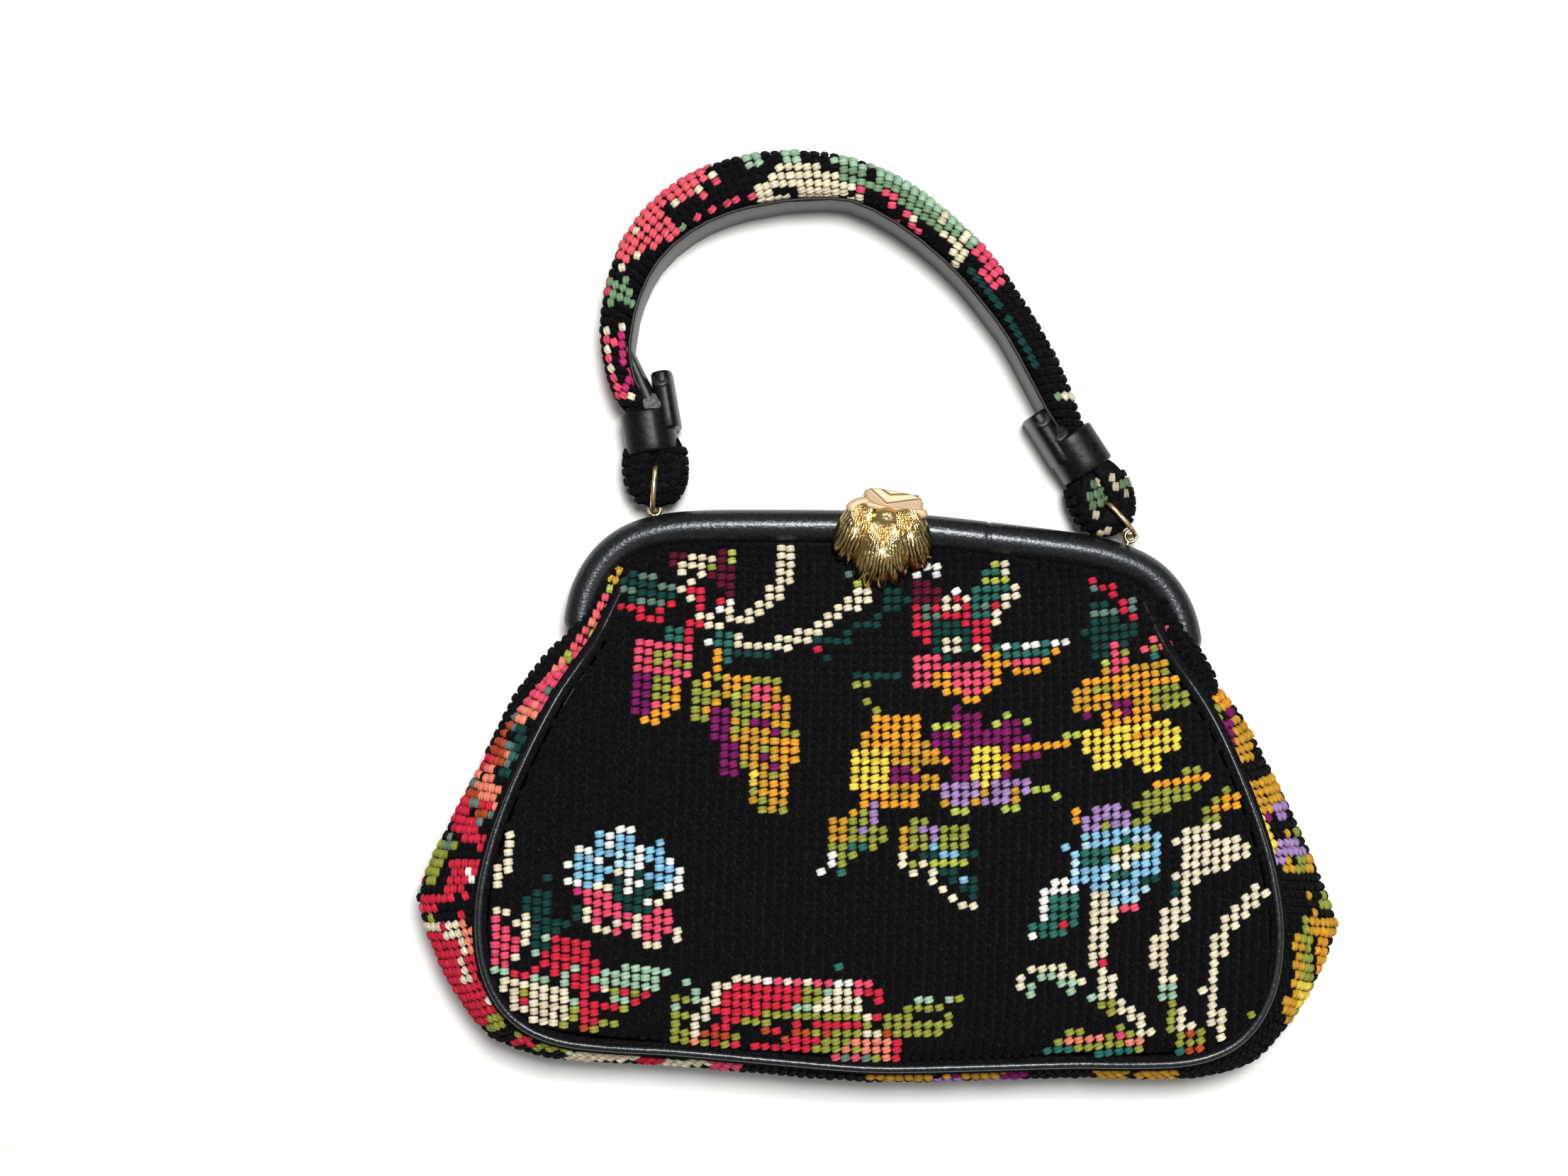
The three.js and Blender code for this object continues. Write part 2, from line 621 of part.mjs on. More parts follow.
function eyeletPlace(eyelet) {
  const local = frameTopAt(eyelet.x, eyelet.stand);
  return local.setZ(FRAME_MIDDLE);
}

// Eyelet: a ring on a shank that is seated in the groove between the frame halves
function eyeletRing(eyelet) {
  const place = eyeletPlace(eyelet);
  const nearer = (best, point) => (point.distanceTo(place) < best.distanceTo(place) ? point : best);
  const root = frameCurve(FRAME_MIDDLE, EYELET_ROOT).reduce(nearer);
  const outward = place.clone().sub(root).normalize();
  const length = place.distanceTo(root) - EYELET_RADIUS;
  const shank = new THREE.CylinderGeometry(EYELET_WIRE, EYELET_WIRE, length, WIRE_SIDES);
  shank.applyQuaternion(new THREE.Quaternion().setFromUnitVectors(new THREE.Vector3(0, 1, 0), outward));
  shank.translate(...root.clone().addScaledVector(outward, length / 2).toArray());
  const ring = new THREE.TorusGeometry(EYELET_RADIUS, EYELET_WIRE, WIRE_SIDES, EYELET_SIDES);
  return join([ring.translate(...place.toArray()), shank]);
}

// Wire link: a rounded loop standing in the upright plane from the eyelet to the strap's fold
function link(eyelet, end) {
  const near = turned(eyeletPlace(eyelet).setZ(0));
  const fold = new THREE.Vector3(end.fold_x, end.fold_y, 0);
  const along = fold.sub(near).normalize();
  const outline = roundedRectangle(LINK_SPAN / 2, LINK_LOW, LINK_HIGH, LINK_CORNER).getPoints(CORNER_STEPS);
  const loop = outline.slice(0, -1).map((p) => near.clone()
    .addScaledVector(along, p.x + LINK_SPAN / 2)
    .setZ(p.y));
  const side = new THREE.Vector3(-along.y, along.x, 0);
  const rings = loop.map((point, i) => {
    const before = loop[(i + loop.length - 1) % loop.length];
    const after = loop[(i + 1) % loop.length];
    const tangent = after.clone().sub(before).normalize();
    const up = tangent.clone().cross(side);
    return Array.from({ length: WIRE_SIDES }, (_, k) => {
      const angle = (2 * Math.PI * k) / WIRE_SIDES;
      return point.clone()
        .addScaledVector(side, LINK_WIRE * Math.cos(angle))
        .addScaledVector(up, LINK_WIRE * Math.sin(angle));
    });
  });
  return loft(rings, true);
}

// Handle strap

function endAxes(end) {
  const slope = THREE.MathUtils.degToRad(end.slope_deg);
  const up = new THREE.Vector3(Math.cos(slope), Math.sin(slope), 0);
  const inward = new THREE.Vector3(up.y, -up.x, 0).multiplyScalar(end.inward);
  return { up, inward, middle: new THREE.Vector3(end.keeper_x, end.keeper_y, 0) };
}

function strapRow(point, thick, low, high) {
  return { x: point.x, y: point.y, thick, low, high };
}

// One folded end, from the tail in the keeper, round the fold, back up through the keeper
function foldedEnd(end) {
  const { up, inward, middle } = endAxes(end);
  const at = (across, along) => middle.clone().addScaledVector(inward, across).addScaledVector(up, along);
  const reach = KEEPER_LENGTH / 2;
  const low = KEEPER_LOW + KEEPER_WALL + GAP;
  const high = KEEPER_HIGH - KEEPER_WALL - GAP;
  const fold = new THREE.Vector3(end.fold_x, end.fold_y, 0);
  const round = (deg, along = 0) => {
    const angle = THREE.MathUtils.degToRad(deg);
    return fold.clone()
      .addScaledVector(inward, FOLD_RADIUS * Math.cos(angle))
      .addScaledVector(up, along - FOLD_RADIUS * Math.sin(angle));
  };
  const rows = [
    strapRow(at(TAIL_OFFSET, reach - TAIL_RECESS), TAIL_THICKNESS, low, high),
    strapRow(at(TAIL_OFFSET, -reach - LEG_OVERRUN), TAIL_THICKNESS, low, high),
    strapRow(round(0, FOLD_RISE), FOLD_THICKNESS, FOLD_LOW, FOLD_HIGH),
  ];
  for (let deg = 0; deg <= 180; deg += FOLD_STEP_DEG) {
    rows.push(strapRow(round(deg), FOLD_THICKNESS, FOLD_LOW, FOLD_HIGH));
  }
  rows.push(strapRow(round(180, FOLD_RISE), FOLD_THICKNESS, FOLD_LOW, FOLD_HIGH));
  rows.push(strapRow(at(-LEG_OFFSET, -reach - LEG_OVERRUN), LEG_THICKNESS, low, high));
  rows.push(strapRow(at(-LEG_OFFSET, reach + LEG_OVERRUN), LEG_THICKNESS, low, high));
  return rows;
}

function strapSamples() {
  const leftEnd = foldedEnd(ENDS[0]);
  const rightEnd = foldedEnd(ENDS[1]).reverse();
  const rows = [...leftEnd, ...STRAP_ARCH, ...rightEnd];
  const curve = new THREE.CatmullRomCurve3(
    rows.map((row) => new THREE.Vector3(row.x, row.y, 0)), false, 'centripetal');
  const spans = rows.length - 1;
  const samples = [];
  for (let i = 0; i <= spans * STEPS_PER_ROW; i += 1) {
    const t = i / (spans * STEPS_PER_ROW);
    const along = i / STEPS_PER_ROW;
    const row = Math.min(Math.floor(along), spans - 1);
    const value = (key) => lerpRow(rows[row], rows[row + 1], along - row, key);
    const tangent = curve.getTangent(t);
    samples.push({
      place: curve.getPoint(t),
      outward: new THREE.Vector3(-tangent.y, tangent.x, 0),
      thick: value('thick'),
      low: value('low'),
      high: value('high'),
    });
  }
  return { samples, lined: [leftEnd.length - 1, spans - rightEnd.length + 1] };
}

const strapPath = strapSamples();

function handleStrap() {
  const power = (value, exponent) => Math.sign(value) * Math.pow(Math.abs(value), exponent);
  const steepest = Math.cos(Math.PI / STRAP_SIDES);
  const rings = strapPath.samples.map((sample) => Array.from({ length: STRAP_SIDES }, (_, k) => {
    const angle = (2 * Math.PI * (k + 0.5)) / STRAP_SIDES;
    const across = power(Math.cos(angle), Math.cos(angle) > 0 ? STRAP_OUTER : STRAP_INNER);
    const upward = power(Math.sin(angle) / steepest, STRAP_EDGE);
    return sample.place.clone()
      .addScaledVector(sample.outward, (across * sample.thick) / 2)
      .setZ((sample.low + sample.high) / 2 + (upward * (sample.high - sample.low)) / 2);
  }));
  return loft(rings);
}

function handleLining() {
  const [first, last] = strapPath.lined.map((row) => row * STEPS_PER_ROW);
  const rings = strapPath.samples.slice(first, last + 1).map((sample) => {
    const near = -(sample.thick / 2 + GAP);
    const far = near - LINING_THICKNESS;
    const corners = [[near, 'low', 1], [near, 'high', -1], [far, 'high', -1], [far, 'low', 1]];
    return corners.map(([across, edge, sign]) => sample.place.clone()
      .addScaledVector(sample.outward, across)
      .setZ(sample[edge] + sign * LINING_INSET));
  });
  return loft(rings);
}

// Leather keeper: a sleeve round both strap legs, with the rolled lobe of its own end beside the lining

function keeper() {
  const upright = (halfWidth, low, high, corner, depth, start) => new THREE.ExtrudeGeometry(
    roundedRectangle(halfWidth, low, high, corner), { depth, bevelEnabled: false, curveSegments: CORNER_STEPS })
    .translate(0, 0, start);
  const start = -KEEPER_LENGTH / 2;
  const sleeve = upright(KEEPER_HALF_WIDTH, KEEPER_LOW, KEEPER_HIGH, KEEPER_CORNER, KEEPER_LENGTH, start);
  const hollow = upright(KEEPER_HALF_WIDTH - KEEPER_WALL, KEEPER_LOW + KEEPER_WALL, KEEPER_HIGH - KEEPER_WALL,
    KEEPER_CORNER - KEEPER_WALL, KEEPER_LENGTH + 2 * OVERCUT, start - OVERCUT);
  const lobe = KEEPER_LOBE;
  const low = KEEPER_LOW + GAP;
  const high = low + lobe.height;
  const roll = upright(lobe.width / 2, low, high, lobe.corner, lobe.high - lobe.low, lobe.low);
  const mouth = upright(lobe.width / 2 - lobe.wall, low + lobe.wall, high - lobe.wall,
    lobe.corner - lobe.wall, lobe.recess + OVERCUT, lobe.high - lobe.recess);
  const lean = new THREE.Matrix4().makeShear(0, 0, 0, 0, lobe.lean, 0);
  const middle = KEEPER_HALF_WIDTH - lobe.sink + lobe.width / 2 - lobe.lean * lobe.low;
  const leaning = (geometry) => geometry.applyMatrix4(lean).translate(middle, 0, 0);
  return cut(join([sleeve, leaning(roll)]), [leaning(mouth), hollow]);
}

// A keeper lies with its own x towards the hand's opening, its y upright and its z up the strap.
function placeKeeper(mesh, end) {
  const { up, inward, middle } = endAxes(end);
  const upright = new THREE.Vector3(0, 0, 1);
  const mirrored = inward.clone().cross(upright).dot(up) < 0;
  if (mirrored) {
    mesh.geometry = mesh.geometry.clone().scale(1, 1, -1);
    const index = mesh.geometry.index;
    for (let i = 0; i < index.count; i += 3) {
      const second = index.getX(i + 1);
      index.setX(i + 1, index.getX(i + 2));
      index.setX(i + 2, second);
    }
  }
  mesh.quaternion.setFromRotationMatrix(
    new THREE.Matrix4().makeBasis(inward, upright, inward.clone().cross(upright)));
  mesh.position.copy(middle);
  return mesh;
}

// Scene graph

function named(name, geometry, material) {
  const mesh = new THREE.Mesh(geometry, material);
  mesh.name = name;
  return mesh;
}

const bag = new THREE.Group();

bag.add(named('front_panel', frontPanel(), wool));
bag.add(named('back_panel', backPanel(), wool));
bag.add(named('gusset', gusset(), wool));
bag.add(named('front_piping', piping('place'), leather));
bag.add(named('back_piping', piping('back'), leather));

const frame = new THREE.Group();
frame.rotation.z = FRAME_TURN;
frame.position.copy(turned(new THREE.Vector3()));
frame.add(named('frame_front', frameHalf(FRONT_FRAME_HEIGHT), leather));
frame.add(named('frame_back', frameHalf(BACK_FRAME_HEIGHT), leather));
frame.add(named('hinge_left', hingePost(-1), brass));
frame.add(named('hinge_right', hingePost(1), brass));
frame.add(named('clasp', clasp(), gold));
frame.add(named('clasp_hinge', claspHinge(), brass));
EYELETS.forEach((eyelet) => frame.add(named('eyelet_' + eyelet.side, eyeletRing(eyelet), brass)));
bag.add(frame);

bag.add(named('handle_strap', handleStrap(), wool));
bag.add(named('handle_lining', handleLining(), leather));
ENDS.forEach((end, i) => {
  bag.add(named('ring_' + end.side, link(EYELETS[i], end), brass));
  bag.add(placeKeeper(named('keeper_' + end.side, keeper(), leather), end));
});

export default bag;
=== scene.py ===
"""A floral needlepoint handbag with a leather covered frame, lying on its back and seen from above."""

import math

import bmesh
import bpy
import numpy as np
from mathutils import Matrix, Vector
from mathutils.bvhtree import BVHTree


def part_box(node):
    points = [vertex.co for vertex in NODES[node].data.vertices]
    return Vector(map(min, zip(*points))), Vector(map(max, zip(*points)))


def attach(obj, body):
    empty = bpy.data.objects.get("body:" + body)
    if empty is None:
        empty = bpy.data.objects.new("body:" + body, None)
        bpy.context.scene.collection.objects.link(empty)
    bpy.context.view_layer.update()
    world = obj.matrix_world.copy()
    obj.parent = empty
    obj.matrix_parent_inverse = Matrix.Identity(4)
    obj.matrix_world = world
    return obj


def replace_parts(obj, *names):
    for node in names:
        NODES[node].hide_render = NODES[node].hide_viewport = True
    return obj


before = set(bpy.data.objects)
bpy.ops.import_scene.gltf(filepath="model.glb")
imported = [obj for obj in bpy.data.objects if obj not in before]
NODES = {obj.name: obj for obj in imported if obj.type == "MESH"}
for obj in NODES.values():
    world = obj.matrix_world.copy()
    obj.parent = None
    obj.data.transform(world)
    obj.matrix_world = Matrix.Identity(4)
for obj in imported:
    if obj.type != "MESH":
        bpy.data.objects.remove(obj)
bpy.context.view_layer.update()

rng = np.random.default_rng(7)

# Sizes are in mm, and MM turns them into metres
MM = 0.001
UP = np.array([0.0, 0.0, 1.0])

# The camera hangs straight above the bag
CAMERA = np.array([-32.18, 64.10, 720.0])
CAMERA_TURN = math.radians(1.8)
SENSOR_WIDTH = 36.0
PHOTO_WIDTH = 2212
PHOTO_HEIGHT = 1659
FOCAL_PX = 3140.0

# Rays start here, well outside the bag
RAY_ABOVE = 120.0
RAY_BELOW = -60.0
RAY_OUTSIDE = 320.0
RAY_PAST_FRAME = 200.0
RAY_PAST_ARCH = 160.0
WELD = 0.01

# One cell of the needlepoint, and how its rows sag
CELL_ACROSS = 3.07
CELL_UP = 2.58
ROW_SMILE = 6.6 / 88.0**2
SMILE_MIDDLE = -18.0
CANVAS_DROP = 0.8

# Colours of the wool, as seen on a screen
YARNS = {
    "black": (8, 8, 10),
    "cream": (224, 214, 186),
    "white": (234, 234, 228),
    "maroon": (94, 20, 42),
    "red": (204, 40, 64),
    "pink": (224, 78, 108),
    "coral": (232, 92, 106),
    "salmon": (234, 134, 112),
    "rust": (176, 72, 40),
    "magenta": (190, 46, 108),
    "orange": (228, 156, 44),
    "ochre": (198, 148, 48),
    "yellow": (230, 204, 76),
    "olive": (146, 152, 62),
    "lime": (172, 184, 78),
    "dark_teal": (22, 62, 58),
    "teal": (44, 106, 94),
    "grey_teal": (98, 124, 112),
    "mint": (156, 188, 162),
    "green": (116, 150, 114),
    "purple": (122, 26, 94),
    "lilac": (160, 130, 184),
    "blue": (128, 184, 214),
    "pale_blue": (172, 208, 226),
}
YARN_NAMES = list(YARNS)


def to_linear(screen):
    """Screen colour, 0 to 255, as linear light."""
    c = np.asarray(screen, float) / 255.0
    return np.where(c <= 0.04045, c / 12.92, ((c + 0.055) / 1.055) ** 2.4)


YARN_LIGHT = np.array([to_linear(YARNS[name]) for name in YARN_NAMES])


def to_photo(points):
    """Where points of the bag fall in the photo."""
    dx = points[:, 0] - CAMERA[0]
    dy = points[:, 1] - CAMERA[1]
    right = dx * math.cos(CAMERA_TURN) + dy * math.sin(CAMERA_TURN)
    up = dy * math.cos(CAMERA_TURN) - dx * math.sin(CAMERA_TURN)
    scale = FOCAL_PX / (CAMERA[2] - points[:, 2])
    return np.stack([PHOTO_WIDTH / 2 + right * scale, PHOTO_HEIGHT / 2 - up * scale], 1)


def to_plan(px, py, z):
    """The bag's (x, y) at height z for a place in the photo."""
    scale = (CAMERA[2] - z) / FOCAL_PX
    right = (px - PHOTO_WIDTH / 2) * scale
    up = (PHOTO_HEIGHT / 2 - py) * scale
    x = right * math.cos(CAMERA_TURN) - up * math.sin(CAMERA_TURN)
    y = right * math.sin(CAMERA_TURN) + up * math.cos(CAMERA_TURN)
    return x + CAMERA[0], y + CAMERA[1]


def unit(vectors):
    """Vectors made one long."""
    return vectors / np.maximum(np.linalg.norm(vectors, axis=-1, keepdims=True), 1e-9)


def smoothed(line, reach, closed=False):
    """A line of points, each averaged with its neighbours."""
    pad = np.pad(line, ((reach, reach), (0, 0)), mode="wrap" if closed else "edge")
    return np.mean([pad[i : i + len(line)] for i in range(2 * reach + 1)], axis=0)


def lengths_along(line):
    """How far along a line each of its points lies."""
    return np.concatenate([[0], np.cumsum(np.linalg.norm(np.diff(line, axis=0), axis=1))])


def evenly(line, step):
    """A line of points again, at even steps."""
    along = lengths_along(line)
    places = np.linspace(0, along[-1], max(2, int(along[-1] / step)))
    return np.stack([np.interp(places, along, line[:, k]) for k in range(3)], 1)


def node_tree(name, extra=((), ())):
    """A CAD node, and any extra points and faces, as one surface for rays, in mm."""
    mesh = NODES[name].data
    start = len(extra[0])
    points = [Vector(p) for p in extra[0]] + [v.co / MM for v in mesh.vertices]
    faces = list(extra[1]) + [[start + i for i in p.vertices] for p in mesh.polygons]
    return BVHTree.FromPolygons(points, faces)


def cast(tree, start, direction):
    """Where a ray meets a surface, and the surface's direction there, or None."""
    hit, normal, _, _ = tree.ray_cast(Vector(start), Vector(direction))
    if hit is None:
        return None
    return np.array(hit), np.array(normal)


def new_object(name, mesh, material, body):
    """A piece of the bag, riding on a body."""
    obj = bpy.data.objects.new(name, mesh)
    bpy.context.scene.collection.objects.link(obj)
    mesh.materials.append(material)
    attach(obj, body)
    return obj


def array_mesh(name, points, corners, sizes, tint=None):
    """A smooth mesh from arrays: points in mm, the faces' corners in a row, and their counts."""
    mesh = bpy.data.meshes.new(name)
    mesh.vertices.add(len(points))
    mesh.vertices.foreach_set("co", (points * MM).astype(np.float32).ravel())
    mesh.loops.add(len(corners))
    mesh.loops.foreach_set("vertex_index", corners.astype(np.int32))
    mesh.polygons.add(len(sizes))
    starts = np.concatenate([[0], np.cumsum(sizes)[:-1]])
    mesh.polygons.foreach_set("loop_start", starts.astype(np.int32))
    mesh.polygons.foreach_set("use_smooth", np.ones(len(sizes), bool))
    mesh.update(calc_edges=True)
    mesh.validate()
    if tint is not None:
        layer = mesh.color_attributes.new("tint", "FLOAT_COLOR", "POINT")
        rgba = np.concatenate([tint, np.ones((len(tint), 1))], axis=1)
        layer.data.foreach_set("color", rgba.astype(np.float32).ravel())
    return mesh


def grid_mesh(name, grid, tint=None):
    """A mesh over rings of points, with one face on each end."""
    rows, columns = grid.shape[:2]
    index = np.arange(rows * columns).reshape(rows, columns)
    a, b = index[:-1], index[1:]
    quads = np.stack([a, np.roll(a, -1, axis=1), np.roll(b, -1, axis=1), b], -1)
    corners = np.concatenate([quads.reshape(-1), index[0][::-1], index[-1]])
    sizes = np.concatenate([np.full(quads.size // 4, 4), [columns, columns]])
    flat_tint = None if tint is None else tint.reshape(-1, 3)
    return array_mesh(name, grid.reshape(-1, 3), corners, sizes, flat_tint)


def tube_grid(line, radii, sides):
    """Rings of points round a line. The rings stay level with the ground."""
    ahead = unit(np.gradient(line, axis=0))
    side = unit(np.cross(ahead, UP))
    top = unit(np.cross(side, ahead))
    turn = round_places(sides)
    ring = np.cos(turn)[None, :, None] * side[:, None] + np.sin(turn)[None, :, None] * top[:, None]
    return line[:, None] + ring * radii[:, None, None]


def round_places(count, start=0.0):
    """Even bearings all the way round."""
    return np.linspace(start, start + 2 * np.pi, count, endpoint=False)


def heading(bearing):
    """A level direction."""
    return np.array([math.cos(bearing), math.sin(bearing), 0.0])


def squared(wave, power):
    """A wave pulled towards a square one."""
    return np.sign(wave) * np.abs(wave) ** power


def node_box(name):
    """The corners of a CAD node's box, in mm."""
    return tuple(np.array(corner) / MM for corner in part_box(name))


# Edges flatter than the first angle are taken out, edges sharper than the second are softened
FLAT_ANGLE = math.radians(4)
SHARP_ANGLE = math.radians(35)


def welded_copy(name, node, push=0.0, bevel=0.0):
    """A clean copy of a CAD node's mesh, moved along its surface directions, with softened edges."""
    mesh = bpy.data.meshes.new(name)
    work = bmesh.new()
    work.from_mesh(NODES[node].data)
    bmesh.ops.remove_doubles(work, verts=work.verts, dist=WELD * MM)
    bmesh.ops.recalc_face_normals(work, faces=work.faces)
    work.normal_update()
    if bevel:
        soft = [e for e in work.edges if e.is_manifold and e.calc_face_angle(0) < FLAT_ANGLE]
        bmesh.ops.dissolve_edges(work, edges=soft, use_verts=False)
        sharp = [e for e in work.edges if e.is_manifold and e.calc_face_angle(0) > SHARP_ANGLE]
        bmesh.ops.bevel(
            work, geom=sharp, offset=bevel * MM, segments=3, profile=0.5, affect="EDGES",
            clamp_overlap=True,
        )
    if push:
        work.normal_update()
        moves = [v.normal * push * MM for v in work.verts]
        for vert, move in zip(work.verts, moves):
            vert.co += move
    work.to_mesh(mesh)
    work.free()
    mesh.materials.clear()
    mesh.shade_smooth()
    return mesh


# Materials

SHADE_SPAN = (0.35, 0.65)
FLECK_SPAN = 0.06


def new_material(name, roughness, metallic=0.0):
    """A surface finish and the nodes that it is wired from."""
    material = bpy.data.materials.new(name)
    material.use_nodes = True
    nodes = material.node_tree.nodes
    finish = nodes["Principled BSDF"]
    finish.inputs["Roughness"].default_value = roughness
    finish.inputs["Metallic"].default_value = metallic
    return material, nodes, material.node_tree.links, finish


def add_noise(nodes, links, scale, detail=3.0):
    """Noise in the bag's own space; scale is the number of grains per metre."""
    place = nodes.new("ShaderNodeTexCoord")
    noise = nodes.new("ShaderNodeTexNoise")
    noise.inputs["Scale"].default_value = scale
    noise.inputs["Detail"].default_value = detail
    links.new(place.outputs["Object"], noise.inputs["Vector"])
    return noise


def add_bump(nodes, links, finish, height, strength, distance):
    """Relief of a given depth in mm."""
    bump = nodes.new("ShaderNodeBump")
    bump.inputs["Strength"].default_value = strength
    bump.inputs["Distance"].default_value = distance * MM
    links.new(height, bump.inputs["Height"])
    links.new(bump.outputs["Normal"], finish.inputs["Normal"])


def add_shades(nodes, links, finish, height, dark, light):
    """Base colour that runs from dark to light with a texture."""
    ramp = nodes.new("ShaderNodeValToRGB")
    for stop, position, shade in zip(ramp.color_ramp.elements, SHADE_SPAN, (dark, light)):
        stop.position = position
        stop.color = (*shade, 1)
    links.new(height, ramp.inputs["Fac"])
    links.new(ramp.outputs["Color"], finish.inputs["Base Color"])


def tinted(name, roughness, metallic, grain, strength, distance):
    """A finish whose colour comes from the mesh, with fine relief."""
    material, nodes, links, finish = new_material(name, roughness, metallic)
    tint = nodes.new("ShaderNodeAttribute")
    tint.attribute_name = "tint"
    links.new(tint.outputs["Color"], finish.inputs["Base Color"])
    noise = add_noise(nodes, links, grain)
    add_bump(nodes, links, finish, noise.outputs["Fac"], strength, distance)
    return material, finish


def shaded(name, roughness, metallic, grain, dark, light, strength, distance):
    """A finish of two near shades, with grain relief."""
    material, nodes, links, finish = new_material(name, roughness, metallic)
    noise = add_noise(nodes, links, grain)
    add_shades(nodes, links, finish, noise.outputs["Fac"], dark, light)
    add_bump(nodes, links, finish, noise.outputs["Fac"], strength, distance)
    return material, finish


def add_flecks(material, finish, grain, threshold, fleck):
    """Sparse pale flecks on top of the colour that comes from the mesh: stray fibres, and painted glints
    on the wool's fuzz.
    """
    nodes = material.node_tree.nodes
    links = material.node_tree.links
    noise = add_noise(nodes, links, grain, 2.0)
    ramp = nodes.new("ShaderNodeValToRGB")
    ramp.color_ramp.elements[0].position = threshold
    ramp.color_ramp.elements[1].position = threshold + FLECK_SPAN
    ramp.color_ramp.elements[0].color = (0, 0, 0, 1)
    ramp.color_ramp.elements[1].color = (*fleck, 1)
    links.new(noise.outputs["Fac"], ramp.inputs["Fac"])
    over = nodes.new("ShaderNodeMixRGB")
    over.blend_type = "ADD"
    over.inputs["Fac"].default_value = 1.0
    links.new(finish.inputs["Base Color"].links[0].from_socket, over.inputs["Color1"])
    links.new(ramp.outputs["Color"], over.inputs["Color2"])
    links.new(over.outputs["Color"], finish.inputs["Base Color"])


def set_inputs(finish, **values):
    """Further values of a finish; an underscore stands for a space."""
    for name, value in values.items():
        finish.inputs[name.replace("_", " ")].default_value = value


# Wool has sparse pale flecks on its own colour: stray fibres, and painted glints on its fuzz
wool, wool_finish = tinted("wool_yarn", 0.92, 0.0, 2400, 0.6, 0.32)
set_inputs(wool_finish, Sheen_Weight=0.015, Sheen_Roughness=0.6, Specular_IOR_Level=0.05)
add_flecks(wool, wool_finish, 2700, 0.655, (0.05, 0.05, 0.055))
canvas, canvas_finish = shaded(
    "canvas", 0.95, 0.0, 900, (0.004, 0.004, 0.005), (0.012, 0.011, 0.012), 0.5, 0.2
)
set_inputs(canvas_finish, Specular_IOR_Level=0.0)

# The frame's leather is glossy and grained, the keepers' smoother and the lining's duller
leather, leather_finish = shaded(
    "black_leather", 0.31, 0.0, 1000, (0.004, 0.004, 0.005), (0.012, 0.012, 0.013), 0.75, 0.20
)
set_inputs(leather_finish, Coat_Weight=0.12, Coat_Roughness=0.2, Specular_Tint=(0.84, 0.93, 1.0, 1.0))
keeper_leather, keeper_finish = shaded(
    "keeper_leather", 0.34, 0.0, 700, (0.003, 0.003, 0.004), (0.009, 0.009, 0.010), 0.4, 0.15
)
set_inputs(keeper_finish, Specular_IOR_Level=0.12)
lining, lining_finish = shaded(
    "lining_leather", 0.42, 0.0, 420, (0.005, 0.005, 0.005), (0.015, 0.015, 0.013), 0.5, 0.30
)
set_inputs(lining_finish, Specular_IOR_Level=0.3)
cut_edge, _ = shaded(
    "cut_leather", 0.85, 0.0, 900, (0.05, 0.05, 0.05), (0.16, 0.16, 0.155), 0.5, 0.2
)

# The clasp is antique gold below a satin plate, the links are worn brass
gold, _ = tinted("antique_gold", 0.19, 1.0, 1600, 0.2, 0.05)
satin_gold, _ = tinted("satin_gold", 0.58, 0.25, 1400, 0.2, 0.06)
brass, _ = shaded("brass_wire", 0.30, 1.0, 500, (0.46, 0.34, 0.15), (0.72, 0.58, 0.32), 0.1, 0.05)
floor_finish, _ = shaded(
    "pale_floor", 0.9, 0.0, 30, (0.90, 0.90, 0.895), (0.93, 0.93, 0.925), 0.05, 0.1
)


# The needlepoint chart: rows of colour at places in the photo; a later row covers an earlier one

def blocks(yarn, *boxes):
    """Boxes of one yarn, each (left, top, right, bottom)."""
    return [("block", yarn, None, box) for box in boxes]


def patch(yarn, *outline, mix=None):
    """An outlined patch of one yarn, with some stitches of a second yarn mixed in."""
    return [("patch", yarn, mix, outline)]


def run(yarn, width, *line):
    """A run of stitches along a line."""
    return [("run", yarn, width, line)]


def beads(yarn, *places):
    """Single stitches."""
    return [("bead", yarn, None, place) for place in places]


def inside(outline, px):
    """Which places lie in an outline."""
    found = np.zeros(len(px), bool)
    for (x0, y0), (x1, y1) in zip(outline, outline[1:] + outline[:1]):
        spans = (y0 > px[:, 1]) != (y1 > px[:, 1])
        rise = y1 - y0 if y1 != y0 else 1.0
        found ^= spans & (px[:, 0] < (x1 - x0) * (px[:, 1] - y0) / rise + x0)
    return found


def away_from(a, b, places):
    """How far places lie from the stretch between two points."""
    a, b = np.array(a, float), np.array(b, float)
    t = np.clip(((places - a) @ (b - a)) / max((b - a) @ (b - a), 1e-9), 0, 1)
    return np.linalg.norm(places - a - t[:, None] * (b - a), axis=1)


def near_line(line, width, px):
    """Which places lie within half a width of a line."""
    best = np.full(len(px), np.inf)
    for a, b in zip(line, line[1:]):
        best = np.minimum(best, away_from(a, b, px))
    return best <= width / 2


BEAD_REACH = 11.0
MIX_SHARE = 0.35


